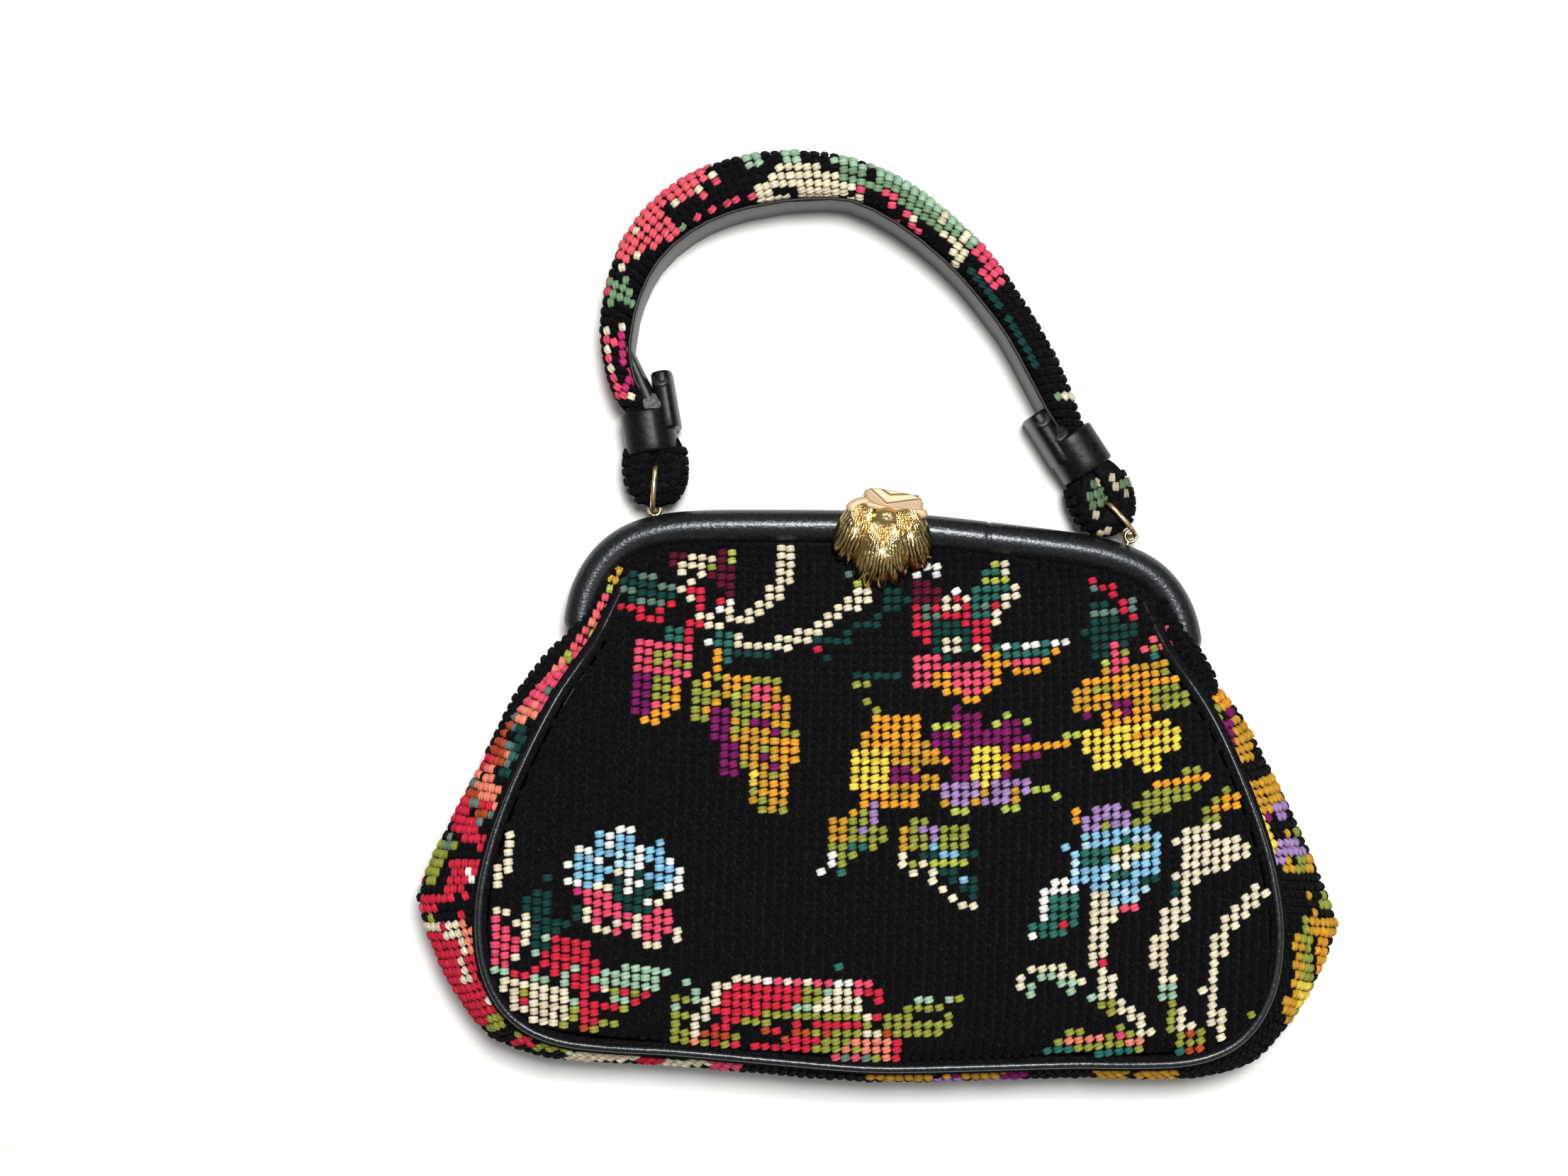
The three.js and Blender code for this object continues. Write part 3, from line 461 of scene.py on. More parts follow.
def chart_yarns(px, chart):
    """The yarn of each stitch, by its place in the photo."""
    yarns = np.zeros(len(px), int)
    if not len(px):
        return yarns
    for kind, yarn, extra, where in chart:
        if kind == "block":
            left, top, right, bottom = where
            found = ((px >= (left, top)) & (px <= (right, bottom))).all(axis=1)
            middle = ((left + right) / 2, (top + bottom) / 2)
        elif kind == "patch":
            found = inside(where, px)
            middle = np.mean(where, axis=0)
        elif kind == "run":
            found = near_line(where, extra, px)
            middle = where[0]
        else:
            found = np.zeros(len(px), bool)
            middle = where
        if not found.any():
            away = np.linalg.norm(px - np.array(middle), axis=1)
            nearest = int(np.argmin(away))
            found[nearest] = away[nearest] < BEAD_REACH
        yarns[found] = YARN_NAMES.index(yarn)
        if kind == "patch" and extra:
            yarns[found & (rng.random(len(px)) < MIX_SHARE)] = YARN_NAMES.index(extra)
    return yarns


LEFT_STRIPED_LEAF = [
    *patch("dark_teal", (878, 815), (900, 806), (958, 832), (958, 862), (930, 858), (880, 845)),
    *run("grey_teal", 12, (898, 805), (955, 835)),
    *run("grey_teal", 12, (877, 832), (930, 855)),
    *run("red", 12, (860, 856), (880, 853), (905, 865), (920, 876)),
    *blocks("red", (933, 842, 946, 860)),
    *beads("red", (925, 862), (935, 872)),
    *blocks("teal", (940, 880, 970, 905)),
]
BUD = [
    *blocks("maroon", (940, 780, 970, 805)),
    *patch("maroon", (1000, 778), (1022, 778), (1043, 800), (1044, 850), (1005, 830)),
    *blocks(
        "cream", (975, 780, 1005, 800), (960, 790, 1000, 806), (950, 800, 976, 811), (965, 812, 980, 828),
        (985, 808, 998, 816), (950, 830, 965, 840), (965, 835, 985, 850), (975, 850, 990, 866),
        (985, 862, 1010, 885),
    ),
    *blocks("red", (972, 822, 998, 836), (980, 840, 1000, 862), (1010, 838, 1040, 852)),
    *blocks("white", (1008, 848, 1030, 862)),
    *run("lime", 12, (1025, 780), (1040, 793)),
    *beads("olive", (1000, 795)),
]
CREAM_STEMS_TOP = [
    *run("cream", 26, (1112, 774), (1108, 800), (1102, 820)),
    *run("cream", 20, (1102, 820), (1090, 840), (1070, 860), (1045, 873), (1030, 870)),
    *run("cream", 21, (1220, 836), (1205, 850), (1180, 868), (1160, 882), (1135, 895), (1110, 905)),
    *run("cream", 14, (1110, 905), (1070, 910), (1040, 905), (1030, 895), (1010, 882), (990, 868)),
    *beads("grey_teal", (1200, 806)),
    *beads("lime", (1205, 818)),
    *patch("teal", (1005, 885), (1030, 895), (1040, 935), (1020, 940), (1012, 915)),
    *blocks(
        "dark_teal", (1040, 918, 1130, 925), (1150, 930, 1185, 938), (1225, 872, 1260, 878),
        (1140, 900, 1200, 909), (1200, 876, 1240, 884), (1200, 949, 1270, 958), (1180, 895, 1215, 902),
        (1240, 858, 1275, 864), (1250, 835, 1280, 850),
    ),
    *beads("red", (1150, 917)),
    *blocks("white", (990, 900, 1012, 913)),
]
LEAF_A = [
    *patch(
        "pink", (900, 905), (940, 903), (978, 915), (980, 945), (960, 965), (958, 985), (940, 1000),
        (920, 1016), (898, 1018), (905, 985), (898, 945),
    ),
    *blocks("red", (965, 875, 980, 908)),
    *beads("red", (985, 882)),
    *blocks("olive", (905, 950, 948, 985), (920, 920, 945, 935), (955, 935, 978, 945)),
    *blocks("purple", (890, 945, 915, 1010)),
    *blocks("orange", (945, 970, 956, 998), (925, 995, 950, 1008), (898, 1005, 925, 1018)),
]
LEAF_B = [
    *patch(
        "olive", (968, 965), (1005, 962), (1022, 985), (1020, 1025), (985, 1022), (970, 1000),
        mix="orange",
    ),
    *patch(
        "ochre", (1000, 945), (1060, 955), (1098, 965), (1115, 985), (1110, 1000), (1125, 1030),
        (1132, 1060), (1127, 1077), (1115, 1085), (1118, 1100), (1115, 1140), (1095, 1150), (1080, 1157),
        (1065, 1135), (1052, 1112), (1060, 1085), (1040, 1075), (1030, 1040), (1030, 1000), mix="olive",
    ),
    *blocks(
        "orange", (1000, 915, 1015, 945), (993, 950, 1010, 960), (990, 962, 1005, 975),
        (1035, 948, 1056, 970),
    ),
    *blocks("olive", (1005, 945, 1035, 955), (1060, 957, 1098, 968)),
    *blocks("orange", (1098, 1040, 1130, 1075), (1085, 1100, 1115, 1125)),
    *blocks(
        "purple", (1008, 1000, 1025, 1050), (1020, 1050, 1040, 1092), (1065, 1016, 1090, 1025),
        (1088, 1028, 1105, 1038), (1085, 1073, 1100, 1083),
    ),
    *blocks("pink", (1065, 970, 1090, 985), (1088, 988, 1100, 998)),
    *beads("purple", (1078, 1070)),
    *blocks("yellow", (1055, 1085, 1072, 1116)),
    *beads("lime", (1035, 981)),
]
OLIVE_SPRIG = [
    *blocks("olive", (1200, 960, 1228, 971), (1212, 983, 1236, 993), (1228, 994, 1240, 1005)),
    *beads("olive", (1237, 1012)),
]
RED_FLOWER = [
    *blocks("white", (1300, 797, 1325, 807)),
    *beads("white", (1296, 817), (1316, 815)),
    *patch("maroon", (1285, 825), (1300, 816), (1328, 825), (1328, 852), (1280, 852)),
    *patch(
        "red", (1280, 852), (1330, 856), (1345, 840), (1356, 838), (1372, 850), (1390, 868), (1400, 880),
        (1398, 905), (1390, 915), (1312, 905), (1283, 905),
    ),
    *blocks("grey_teal", (1305, 860, 1322, 869), (1318, 868, 1332, 877), (1365, 866, 1378, 875)),
    *beads("grey_teal", (1300, 853)),
    *blocks("cream", (1330, 843, 1346, 862), (1346, 850, 1356, 860), (1362, 845, 1372, 853)),
    *blocks("dark_teal", (1315, 880, 1365, 925)),
    *blocks("cream", (1325, 895, 1351, 926)),
    *blocks("red", (1365, 885, 1398, 918)),
    *blocks("cream", (1365, 914, 1405, 924)),
    *beads("white", (1348, 833)),
    *blocks("pink", (1285, 918, 1326, 966)),
    *patch("pink", (1330, 935), (1400, 928), (1402, 965), (1385, 981), (1355, 981), (1335, 960)),
    *blocks("dark_teal", (1330, 928, 1350, 938)),
    *blocks(
        "orange", (1320, 945, 1336, 972), (1335, 974, 1350, 983), (1385, 974, 1400, 983),
        (1352, 983, 1388, 993), (1382, 925, 1412, 942), (1400, 940, 1412, 970),
    ),
]
GOLD_EDGED_LEAF = [
    *patch(
        "teal", (1400, 915), (1420, 905), (1470, 898), (1498, 902), (1490, 912), (1470, 925), (1430, 930),
        (1405, 922),
    ),
    *blocks("white", (1487, 897, 1512, 907)),
    *beads("white", (1425, 916), (1442, 914), (1465, 908)),
    *blocks("pink", (1430, 930, 1466, 940)),
    *blocks(
        "orange", (1410, 928, 1432, 942), (1428, 942, 1468, 954), (1465, 924, 1488, 936),
        (1487, 910, 1502, 919),
    ),
]
CREAM_EDGED_LEAF = [
    *blocks("lime", (1398, 793, 1420, 803)),
    *blocks("teal", (1380, 803, 1415, 813)),
    *blocks("lime", (1380, 812, 1422, 822)),
    *blocks("teal", (1365, 824, 1422, 837), (1370, 838, 1415, 868)),
    *blocks("grey_teal", (1380, 854, 1410, 866)),
    *beads("red", (1400, 857)),
    *beads(
        "cream", (1422, 797), (1424, 810), (1428, 825), (1431, 836), (1420, 846), (1421, 858),
        (1411, 868), (1400, 877),
    ),
]
TOP_RIGHT_LEAF = [
    *patch(
        "dark_teal", (1535, 872), (1603, 875), (1603, 900), (1590, 915), (1560, 930), (1540, 925),
        (1530, 890),
    ),
    *blocks("dark_teal", (1535, 845, 1570, 860)),
    *blocks(
        "red", (1535, 810, 1547, 820), (1552, 822, 1570, 840), (1573, 839, 1587, 849),
        (1576, 850, 1590, 872), (1590, 862, 1603, 872),
    ),
    *blocks(
        "grey_teal", (1535, 820, 1550, 830), (1540, 831, 1555, 841), (1535, 857, 1573, 867),
        (1588, 846, 1602, 861),
    ),
    *blocks(
        "pink", (1565, 901, 1580, 911), (1568, 914, 1585, 926), (1560, 928, 1586, 945),
        (1563, 945, 1576, 960), (1610, 914, 1622, 926), (1612, 929, 1626, 939),
    ),
    *beads("pink", (1591, 931)),
    *blocks("olive", (1583, 917, 1593, 929), (1622, 910, 1660, 921)),
    *blocks(
        "coral", (1622, 900, 1640, 912), (1638, 884, 1655, 897), (1640, 903, 1655, 912),
        (1627, 917, 1655, 926), (1662, 931, 1680, 947),
    ),
    *blocks("teal", (1625, 925, 1660, 935)),
    *blocks("lime", (1548, 927, 1560, 936)),
]
RIGHT_GOLD_FLOWER = [
    *patch(
        "ochre", (1515, 975), (1525, 962), (1545, 950), (1562, 945), (1580, 950), (1592, 940),
        (1650, 935), (1675, 945), (1690, 975), (1684, 985), (1660, 997), (1620, 1000), (1560, 1000),
        (1520, 1005), (1515, 990),
    ),
    *blocks("olive", (1545, 970, 1600, 992), (1630, 940, 1690, 997)),
    *run("orange", 11, (1530, 958), (1660, 956)),
    *run("orange", 11, (1540, 983), (1625, 981)),
    *patch("purple", (1573, 988), (1598, 990), (1602, 1012), (1588, 1018), (1575, 1000)),
    *blocks("orange", (1548, 1000, 1628, 1026)),
    *blocks("purple", (1576, 988, 1600, 1012)),
    *beads("purple", (1540, 1015)),
    *patch(
        "yellow", (1520, 1035), (1560, 1030), (1600, 1020), (1645, 1018), (1660, 1030), (1666, 1055),
        (1640, 1070), (1640, 1090), (1612, 1090), (1600, 1075), (1582, 1072), (1578, 1090), (1545, 1090),
        (1545, 1078), (1530, 1062),
    ),
    *blocks("orange", (1560, 1030, 1580, 1040), (1600, 1030, 1635, 1045)),
    *blocks("lime", (1492, 1030, 1522, 1042)),
]
MIDDLE_GOLD_FLOWER = [
    *patch(
        "ochre", (1225, 1030), (1240, 1012), (1275, 1012), (1290, 1025), (1315, 1045), (1320, 1065),
        (1330, 1095), (1320, 1110), (1300, 1125), (1292, 1146), (1250, 1142), (1225, 1120), (1200, 1116),
        (1200, 1085), (1203, 1060), (1215, 1050),
    ),
    *blocks("orange", (1227, 1012, 1300, 1060)),
    *blocks("yellow", (1200, 1055, 1256, 1120)),
    *blocks("orange", (1240, 1128, 1295, 1146)),
    *patch("purple", (1253, 1080), (1287, 1081), (1297, 1098), (1270, 1105), (1253, 1100)),
    *blocks("black", (1305, 1074, 1335, 1086)),
]
PURPLE_FLOWER = [
    *patch(
        "purple", (1340, 998), (1375, 1000), (1385, 1010), (1378, 1025), (1400, 1030), (1405, 1012),
        (1445, 1015), (1440, 1040), (1465, 1045), (1468, 1065), (1440, 1080), (1430, 1095), (1340, 1100),
        (1335, 1070), (1315, 1045), (1318, 1030), (1345, 1025),
    ),
    *patch(
        "lilac", (1330, 1100), (1360, 1095), (1385, 1110), (1400, 1100), (1460, 1098), (1462, 1125),
        (1430, 1130), (1420, 1140), (1395, 1140), (1375, 1125), (1350, 1140), (1335, 1132), (1328, 1112),
    ),
    *patch(
        "yellow", (1365, 1062), (1375, 1050), (1405, 1048), (1418, 1085), (1405, 1095), (1393, 1112),
        (1380, 1100), (1365, 1090),
    ),
    *blocks(
        "lime", (1315, 1015, 1340, 1024), (1320, 1024, 1345, 1033), (1395, 1012, 1410, 1030),
        (1400, 998, 1430, 1008), (1438, 1012, 1449, 1030),
    ),
    *beads("lime", (1350, 1028)),
    *beads("orange", (1350, 1038), (1325, 1065), (1340, 1076)),
    *blocks("orange", (1410, 1058, 1425, 1082)),
    *run("orange", 12, (1425, 1060), (1508, 1051)),
    *beads("ochre", (1340, 1133), (1375, 1130), (1395, 1125), (1430, 1128), (1440, 1113)),
    *blocks("lime", (1345, 1138, 1370, 1149), (1410, 1137, 1436, 1147)),
    *run("lime", 12, (1455, 1117), (1490, 1119), (1500, 1130)),
    *blocks("orange", (1512, 1135, 1525, 1168)),
]
LOWER_LEAVES = [
    *patch(
        "olive", (1215, 1120), (1250, 1125), (1240, 1160), (1250, 1170), (1245, 1196), (1215, 1200),
        (1205, 1215), (1175, 1225), (1170, 1200), (1172, 1170), (1190, 1155), (1205, 1145),
    ),
    *blocks("orange", (1210, 1122, 1250, 1140), (1200, 1143, 1215, 1153)),
    *blocks("ochre", (1172, 1155, 1200, 1190)),
    *blocks("lilac", (1230, 1130, 1241, 1160), (1215, 1163, 1228, 1180)),
    *blocks("blue", (1198, 1185, 1212, 1195)),
    *blocks("teal", (1190, 1195, 1225, 1206), (1175, 1220, 1195, 1231)),
    *blocks("white", (1170, 1195, 1183, 1226), (1155, 1226, 1167, 1236)),
    *blocks("olive", (1185, 1207, 1210, 1217), (1280, 1155, 1310, 1200), (1325, 1165, 1365, 1198)),
    *blocks("ochre", (1265, 1160, 1280, 1196)),
    *blocks("lilac", (1295, 1160, 1307, 1178), (1310, 1165, 1322, 1192)),
    *blocks("dark_teal", (1290, 1200, 1380, 1212)),
    *patch(
        "dark_teal", (1330, 1222), (1380, 1235), (1385, 1270), (1365, 1270), (1345, 1255), (1325, 1232),
    ),
    *blocks("blue", (1310, 1193, 1322, 1203), (1325, 1203, 1350, 1213), (1345, 1231, 1366, 1240)),
    *blocks("lime", (1312, 1214, 1366, 1223)),
    *blocks("olive", (1283, 1214, 1295, 1223)),
    *blocks(
        "cream", (1265, 1200, 1280, 1215), (1265, 1219, 1277, 1229), (1282, 1229, 1295, 1239),
        (1297, 1208, 1310, 1226), (1310, 1230, 1323, 1250), (1327, 1250, 1340, 1260),
        (1342, 1260, 1353, 1270), (1355, 1269, 1381, 1281),
    ),
]
LEFT_BLUE_FLOWER = [
    *blocks("dark_teal", (862, 1226, 921, 1287)),
    *beads("white", (883, 1237), (895, 1240), (883, 1249), (883, 1262), (910, 1269)),
    *blocks("white", (849, 1169, 894, 1180)),
    *blocks(
        "blue", (836, 1175, 849, 1193), (864, 1181, 894, 1202), (836, 1193, 860, 1215),
        (803, 1206, 833, 1220), (803, 1220, 859, 1240), (817, 1233, 858, 1251), (909, 1189, 935, 1208),
        (910, 1208, 949, 1220), (908, 1224, 949, 1244), (921, 1240, 946, 1258),
    ),
    *blocks("pale_blue", (860, 1200, 895, 1222)),
    *blocks(
        "white", (849, 1182, 863, 1193), (803, 1194, 833, 1205), (790, 1207, 802, 1226),
        (787, 1232, 802, 1249), (802, 1240, 815, 1251), (832, 1213, 846, 1222), (896, 1186, 909, 1222),
        (936, 1204, 947, 1215), (949, 1217, 962, 1262), (935, 1252, 944, 1261),
    ),
    *blocks("cream", (862, 1220, 876, 1240), (831, 1249, 858, 1260), (920, 1262, 946, 1274)),
    *beads("magenta", (819, 1256)),
    *blocks(
        "pink", (822, 1260, 859, 1273), (829, 1273, 874, 1300), (862, 1307, 872, 1318),
        (874, 1290, 885, 1307),
    ),
    *blocks(
        "cream", (815, 1274, 829, 1302), (829, 1307, 842, 1318), (844, 1307, 857, 1319),
        (858, 1299, 872, 1310), (889, 1293, 901, 1324),
    ),
    *blocks("pink", (920, 1277, 946, 1294), (902, 1292, 944, 1312), (903, 1307, 941, 1328)),
    *blocks(
        "cream", (946, 1303, 960, 1334), (901, 1325, 940, 1339), (707, 1174, 722, 1230),
        (697, 1222, 707, 1252),
    ),
]
LEFT_TEAL_LEAF = [
    *blocks(
        "dark_teal", (764, 1235, 780, 1245), (750, 1256, 784, 1266), (737, 1265, 785, 1280),
        (734, 1280, 784, 1298), (750, 1298, 770, 1343), (770, 1295, 815, 1306), (770, 1307, 797, 1317),
        (801, 1277, 814, 1296),
    ),
    *blocks("mint", (742, 1339, 757, 1350), (760, 1316, 770, 1330)),
]
LEFT_ROSE = [
    *blocks("cream", (691, 1279, 732, 1290), (735, 1286, 745, 1295)),
    *blocks(
        "pink", (691, 1290, 722, 1298), (691, 1302, 720, 1315), (691, 1317, 730, 1328),
        (697, 1330, 728, 1350), (695, 1352, 722, 1364),
    ),
    *blocks("cream", (718, 1295, 748, 1305), (732, 1294, 747, 1330), (727, 1337, 739, 1362)),
    *blocks("mint", (697, 1364, 719, 1375)),
    *patch(
        "cream", (701, 1376), (719, 1376), (722, 1385), (750, 1388), (790, 1386), (802, 1398),
        (803, 1420), (800, 1440), (780, 1456), (755, 1450), (725, 1425), (700, 1395),
    ),
    *blocks(
        "red", (774, 1323, 828, 1337), (758, 1337, 840, 1357), (741, 1357, 850, 1368),
        (722, 1367, 746, 1378), (735, 1366, 766, 1384), (777, 1372, 791, 1383), (821, 1366, 850, 1384),
    ),
    *blocks("mint", (748, 1374, 775, 1385), (788, 1370, 806, 1393), (806, 1362, 820, 1372)),
    *blocks(
        "red", (806, 1375, 847, 1395), (818, 1388, 865, 1404), (815, 1409, 863, 1431),
        (815, 1433, 846, 1449),
    ),
    *blocks("rust", (791, 1449, 831, 1470)),
    *blocks(
        "mint", (870, 1357, 894, 1367), (851, 1366, 926, 1380), (836, 1379, 926, 1387),
        (880, 1384, 925, 1399),
    ),
    *beads("mint", (933, 1374)),
    *blocks("cream", (849, 1388, 880, 1398)),
    *blocks(
        "olive", (865, 1395, 908, 1405), (862, 1417, 892, 1429), (847, 1434, 876, 1446),
        (831, 1447, 846, 1457), (801, 1419, 815, 1430), (801, 1434, 815, 1446), (784, 1444, 801, 1456),
        (728, 1394, 745, 1405),
    ),
    *blocks("mint", (863, 1407, 908, 1417), (802, 1404, 817, 1415)),
    *beads("red", (885, 1405), (905, 1405), (868, 1417), (902, 1418)),
    *blocks("red", (725, 1412, 745, 1424)),
    *blocks("salmon", (878, 1470, 890, 1480), (908, 1472, 939, 1484)),
]
PEONY = [
    *blocks("mint", (955, 1381, 967, 1400), (969, 1388, 982, 1400)),
    *blocks("olive", (940, 1400, 982, 1410)),
    *blocks("mint", (940, 1411, 982, 1421)),
    *blocks("olive", (940, 1422, 969, 1445), (940, 1449, 969, 1475), (955, 1469, 970, 1481)),
    *blocks(
        "red", (1012, 1390, 1130, 1414), (1000, 1415, 1115, 1430), (1015, 1428, 1072, 1440),
        (1000, 1440, 1042, 1451),
    ),
    *blocks(
        "cream", (986, 1405, 1000, 1427), (970, 1427, 984, 1465), (985, 1429, 999, 1441),
        (999, 1390, 1012, 1414), (1012, 1383, 1027, 1393), (1027, 1376, 1071, 1390),
    ),
    *blocks("pink", (1087, 1381, 1172, 1395)),
    *blocks("white", (1071, 1379, 1087, 1389), (1172, 1376, 1187, 1395), (1190, 1377, 1202, 1389)),
    *beads("cream", (1110, 1382), (1133, 1383)),
    *beads("teal", (1178, 1368)),
    *blocks("pink", (1191, 1389, 1205, 1399), (1205, 1382, 1237, 1402)),
    *blocks("red", (1225, 1390, 1252, 1422), (1226, 1425, 1239, 1437)),
    *blocks("olive", (1130, 1395, 1160, 1412)),
    *blocks("mint", (1160, 1393, 1172, 1403), (1120, 1414, 1145, 1425)),
    *blocks(
        "cream", (1161, 1402, 1206, 1415), (1176, 1394, 1206, 1403), (1209, 1404, 1224, 1427),
        (1147, 1417, 1210, 1429), (1211, 1427, 1225, 1439),
    ),
    *blocks("olive", (1072, 1428, 1210, 1439), (1045, 1440, 1090, 1452), (1211, 1437, 1225, 1447)),
    *blocks("red", (1119, 1439, 1135, 1450), (1147, 1438, 1210, 1450), (1090, 1445, 1102, 1457)),
    *blocks(
        "rust", (985, 1454, 1032, 1467), (1076, 1454, 1090, 1465), (1107, 1455, 1177, 1467),
        (1244, 1452, 1260, 1465), (1260, 1453, 1270, 1463),
    ),
    *blocks(
        "olive", (1032, 1454, 1047, 1466), (1179, 1449, 1197, 1460), (1150, 1449, 1162, 1459),
        (1197, 1450, 1212, 1462),
    ),
    *blocks("cream", (1211, 1452, 1242, 1467)),
    *blocks(
        "red", (1065, 1467, 1165, 1480), (1050, 1480, 1150, 1494), (1000, 1467, 1017, 1490),
        (985, 1474, 1000, 1486), (1032, 1470, 1045, 1482),
    ),
    *blocks(
        "olive", (985, 1464, 1000, 1475), (1016, 1467, 1032, 1485), (1164, 1466, 1197, 1477),
        (1150, 1479, 1180, 1489), (1180, 1475, 1197, 1485), (1197, 1479, 1214, 1489),
        (1212, 1466, 1227, 1476),
    ),
    *blocks(
        "salmon", (971, 1467, 986, 1485), (1197, 1469, 1214, 1480), (1182, 1481, 1197, 1493),
        (1214, 1470, 1244, 1492), (1245, 1467, 1260, 1490), (1245, 1492, 1260, 1505),
    ),
    *blocks("red", (1260, 1467, 1274, 1486), (1262, 1489, 1276, 1500)),
    *blocks("grey_teal", (1130, 1488, 1245, 1498)),
    *blocks("pink", (1167, 1496, 1182, 1506), (1199, 1496, 1214, 1507)),
    *blocks("olive", (1229, 1495, 1245, 1506)),
    *beads("black", (1110, 1450), (1142, 1450), (1065, 1463), (1097, 1465), (1055, 1472)),
]
PEONY_LEAF = [
    *blocks("mint", (1296, 1407, 1324, 1419), (1326, 1410, 1356, 1420)),
    *beads("olive", (1347, 1405)),
    *blocks("olive", (1271, 1422, 1344, 1434), (1242, 1435, 1344, 1447), (1255, 1449, 1330, 1462)),
]
RIGHT_BLUE_FLOWER = [
    *patch(
        "lilac", (1540, 1143), (1575, 1138), (1597, 1148), (1600, 1162), (1580, 1170), (1555, 1176),
        (1528, 1172), (1530, 1158),
    ),
    *blocks("olive", (1555, 1155, 1568, 1165)),
    *patch(
        "blue", (1530, 1180), (1570, 1175), (1600, 1172), (1628, 1163), (1640, 1200), (1635, 1220),
        (1625, 1250), (1618, 1265), (1600, 1272), (1562, 1275), (1545, 1252), (1510, 1242), (1508, 1225),
        (1500, 1195), (1528, 1195), mix="pale_blue",
    ),
    *blocks("teal", (1530, 1200, 1562, 1218), (1575, 1179, 1600, 1190), (1570, 1225, 1600, 1242)),
    *blocks("olive", (1563, 1190, 1622, 1201)),
    *blocks("cream", (1582, 1198, 1592, 1207), (1565, 1205, 1612, 1216), (1582, 1218, 1595, 1228)),
    *blocks("pink", (1573, 1272, 1614, 1283)),
]
RIGHT_OLIVE_LEAF = [
    *blocks("olive", (1672, 1079, 1700, 1091)),
    *run("orange", 12, (1632, 1105), (1697, 1095)),
    *run("olive", 12, (1620, 1118), (1687, 1110)),
    *run("olive", 12, (1607, 1132), (1677, 1124)),
    *blocks(
        "olive", (1610, 1138, 1650, 1148), (1602, 1152, 1625, 1162), (1722, 1107, 1745, 1120),
        (1710, 1125, 1732, 1136), (1697, 1140, 1720, 1156),
    ),
    *blocks("orange", (1727, 1122, 1754, 1142), (1712, 1141, 1725, 1153)),
]
WHITE_EDGED_LEAF = [
    *patch("teal", (1485, 1258), (1525, 1258), (1526, 1300), (1510, 1318), (1482, 1318)),
    *blocks("teal", (1457, 1305, 1500, 1325)),
    *blocks(
        "white", (1480, 1243, 1496, 1260), (1490, 1238, 1510, 1248), (1500, 1250, 1525, 1260),
        (1465, 1252, 1482, 1306), (1455, 1310, 1470, 1320),
    ),
    *beads("red", (1495, 1307), (1506, 1307)),
]
CREAM_STAR = [
    *blocks("dark_teal", (1645, 1242, 1672, 1270), (1602, 1235, 1635, 1250)),
    *patch(
        "cream", (1652, 1188), (1672, 1172), (1700, 1160), (1740, 1150), (1743, 1157), (1720, 1163),
        (1714, 1175), (1702, 1178), (1705, 1188), (1745, 1183), (1770, 1186), (1767, 1208), (1740, 1215),
        (1738, 1228), (1700, 1235), (1665, 1241), (1655, 1235), (1668, 1215), (1664, 1200),
    ),
    *blocks("cream", (1671, 1242, 1686, 1272), (1684, 1240, 1699, 1250)),
]
CREAM_STEMS_BELOW = [
    *run("cream", 26, (1549, 1270), (1550, 1300), (1552, 1350), (1557, 1385), (1565, 1402), (1580, 1420)),
    *run("cream", 26, (1580, 1420), (1595, 1432), (1607, 1440), (1612, 1455)),
    *blocks("cream", (1560, 1279, 1575, 1297)),
    *beads("red", (1557, 1355)),
    *blocks("olive", (1552, 1413, 1568, 1425), (1567, 1427, 1589, 1437), (1573, 1440, 1588, 1450)),
    *beads("pink", (1580, 1457)),
    *beads(
        "cream", (1497, 1366), (1483, 1370), (1468, 1369), (1453, 1373), (1442, 1385), (1442, 1396),
        (1500, 1380), (1515, 1378),
    ),
    *blocks("cream", (1526, 1382, 1540, 1405)),
    *blocks(
        "mint", (1461, 1372, 1491, 1384), (1447, 1380, 1465, 1404), (1491, 1383, 1507, 1393),
        (1510, 1385, 1525, 1401), (1529, 1403, 1542, 1413),
    ),
    *blocks(
        "cream", (1644, 1267, 1660, 1281), (1632, 1277, 1675, 1297), (1632, 1297, 1664, 1315),
        (1620, 1315, 1665, 1327),
    ),
    *run("cream", 26, (1637, 1327), (1640, 1360), (1645, 1395), (1655, 1420), (1668, 1447)),
    *blocks("mint", (1632, 1391, 1658, 1410)),
    *blocks(
        "olive", (1640, 1410, 1652, 1421), (1645, 1423, 1657, 1433), (1648, 1435, 1662, 1457),
        (1664, 1455, 1697, 1490),
    ),
    *beads("rust", (1686, 1454), (1672, 1477), (1686, 1477)),
    *beads("teal", (1672, 1491)),
    *run("cream", 24, (1790, 1241), (1775, 1257), (1759, 1273), (1743, 1292), (1729, 1311), (1721, 1330)),
    *run("cream", 24, (1721, 1330), (1715, 1350), (1712, 1370), (1708, 1395), (1712, 1420), (1724, 1460)),
    *blocks("cream", (1695, 1390, 1706, 1400)),
    *blocks("coral", (1717, 1473, 1742, 1485)),
    *blocks("olive", (1753, 1424, 1786, 1457)),
]
BOTTOM_RIGHT_LEAF = [
    *blocks("olive", (1496, 1455, 1574, 1465)),
    *blocks("salmon", (1500, 1463, 1572, 1472)),
    *blocks("olive", (1484, 1470, 1590, 1480)),
    *blocks("teal", (1470, 1479, 1617, 1490)),
    *blocks(
        "olive", (1470, 1489, 1527, 1499), (1589, 1486, 1615, 1496), (1592, 1458, 1605, 1468),
        (1590, 1471, 1621, 1481),
    ),
    *blocks("salmon", (1606, 1464, 1621, 1476), (1592, 1466, 1604, 1474)),
]
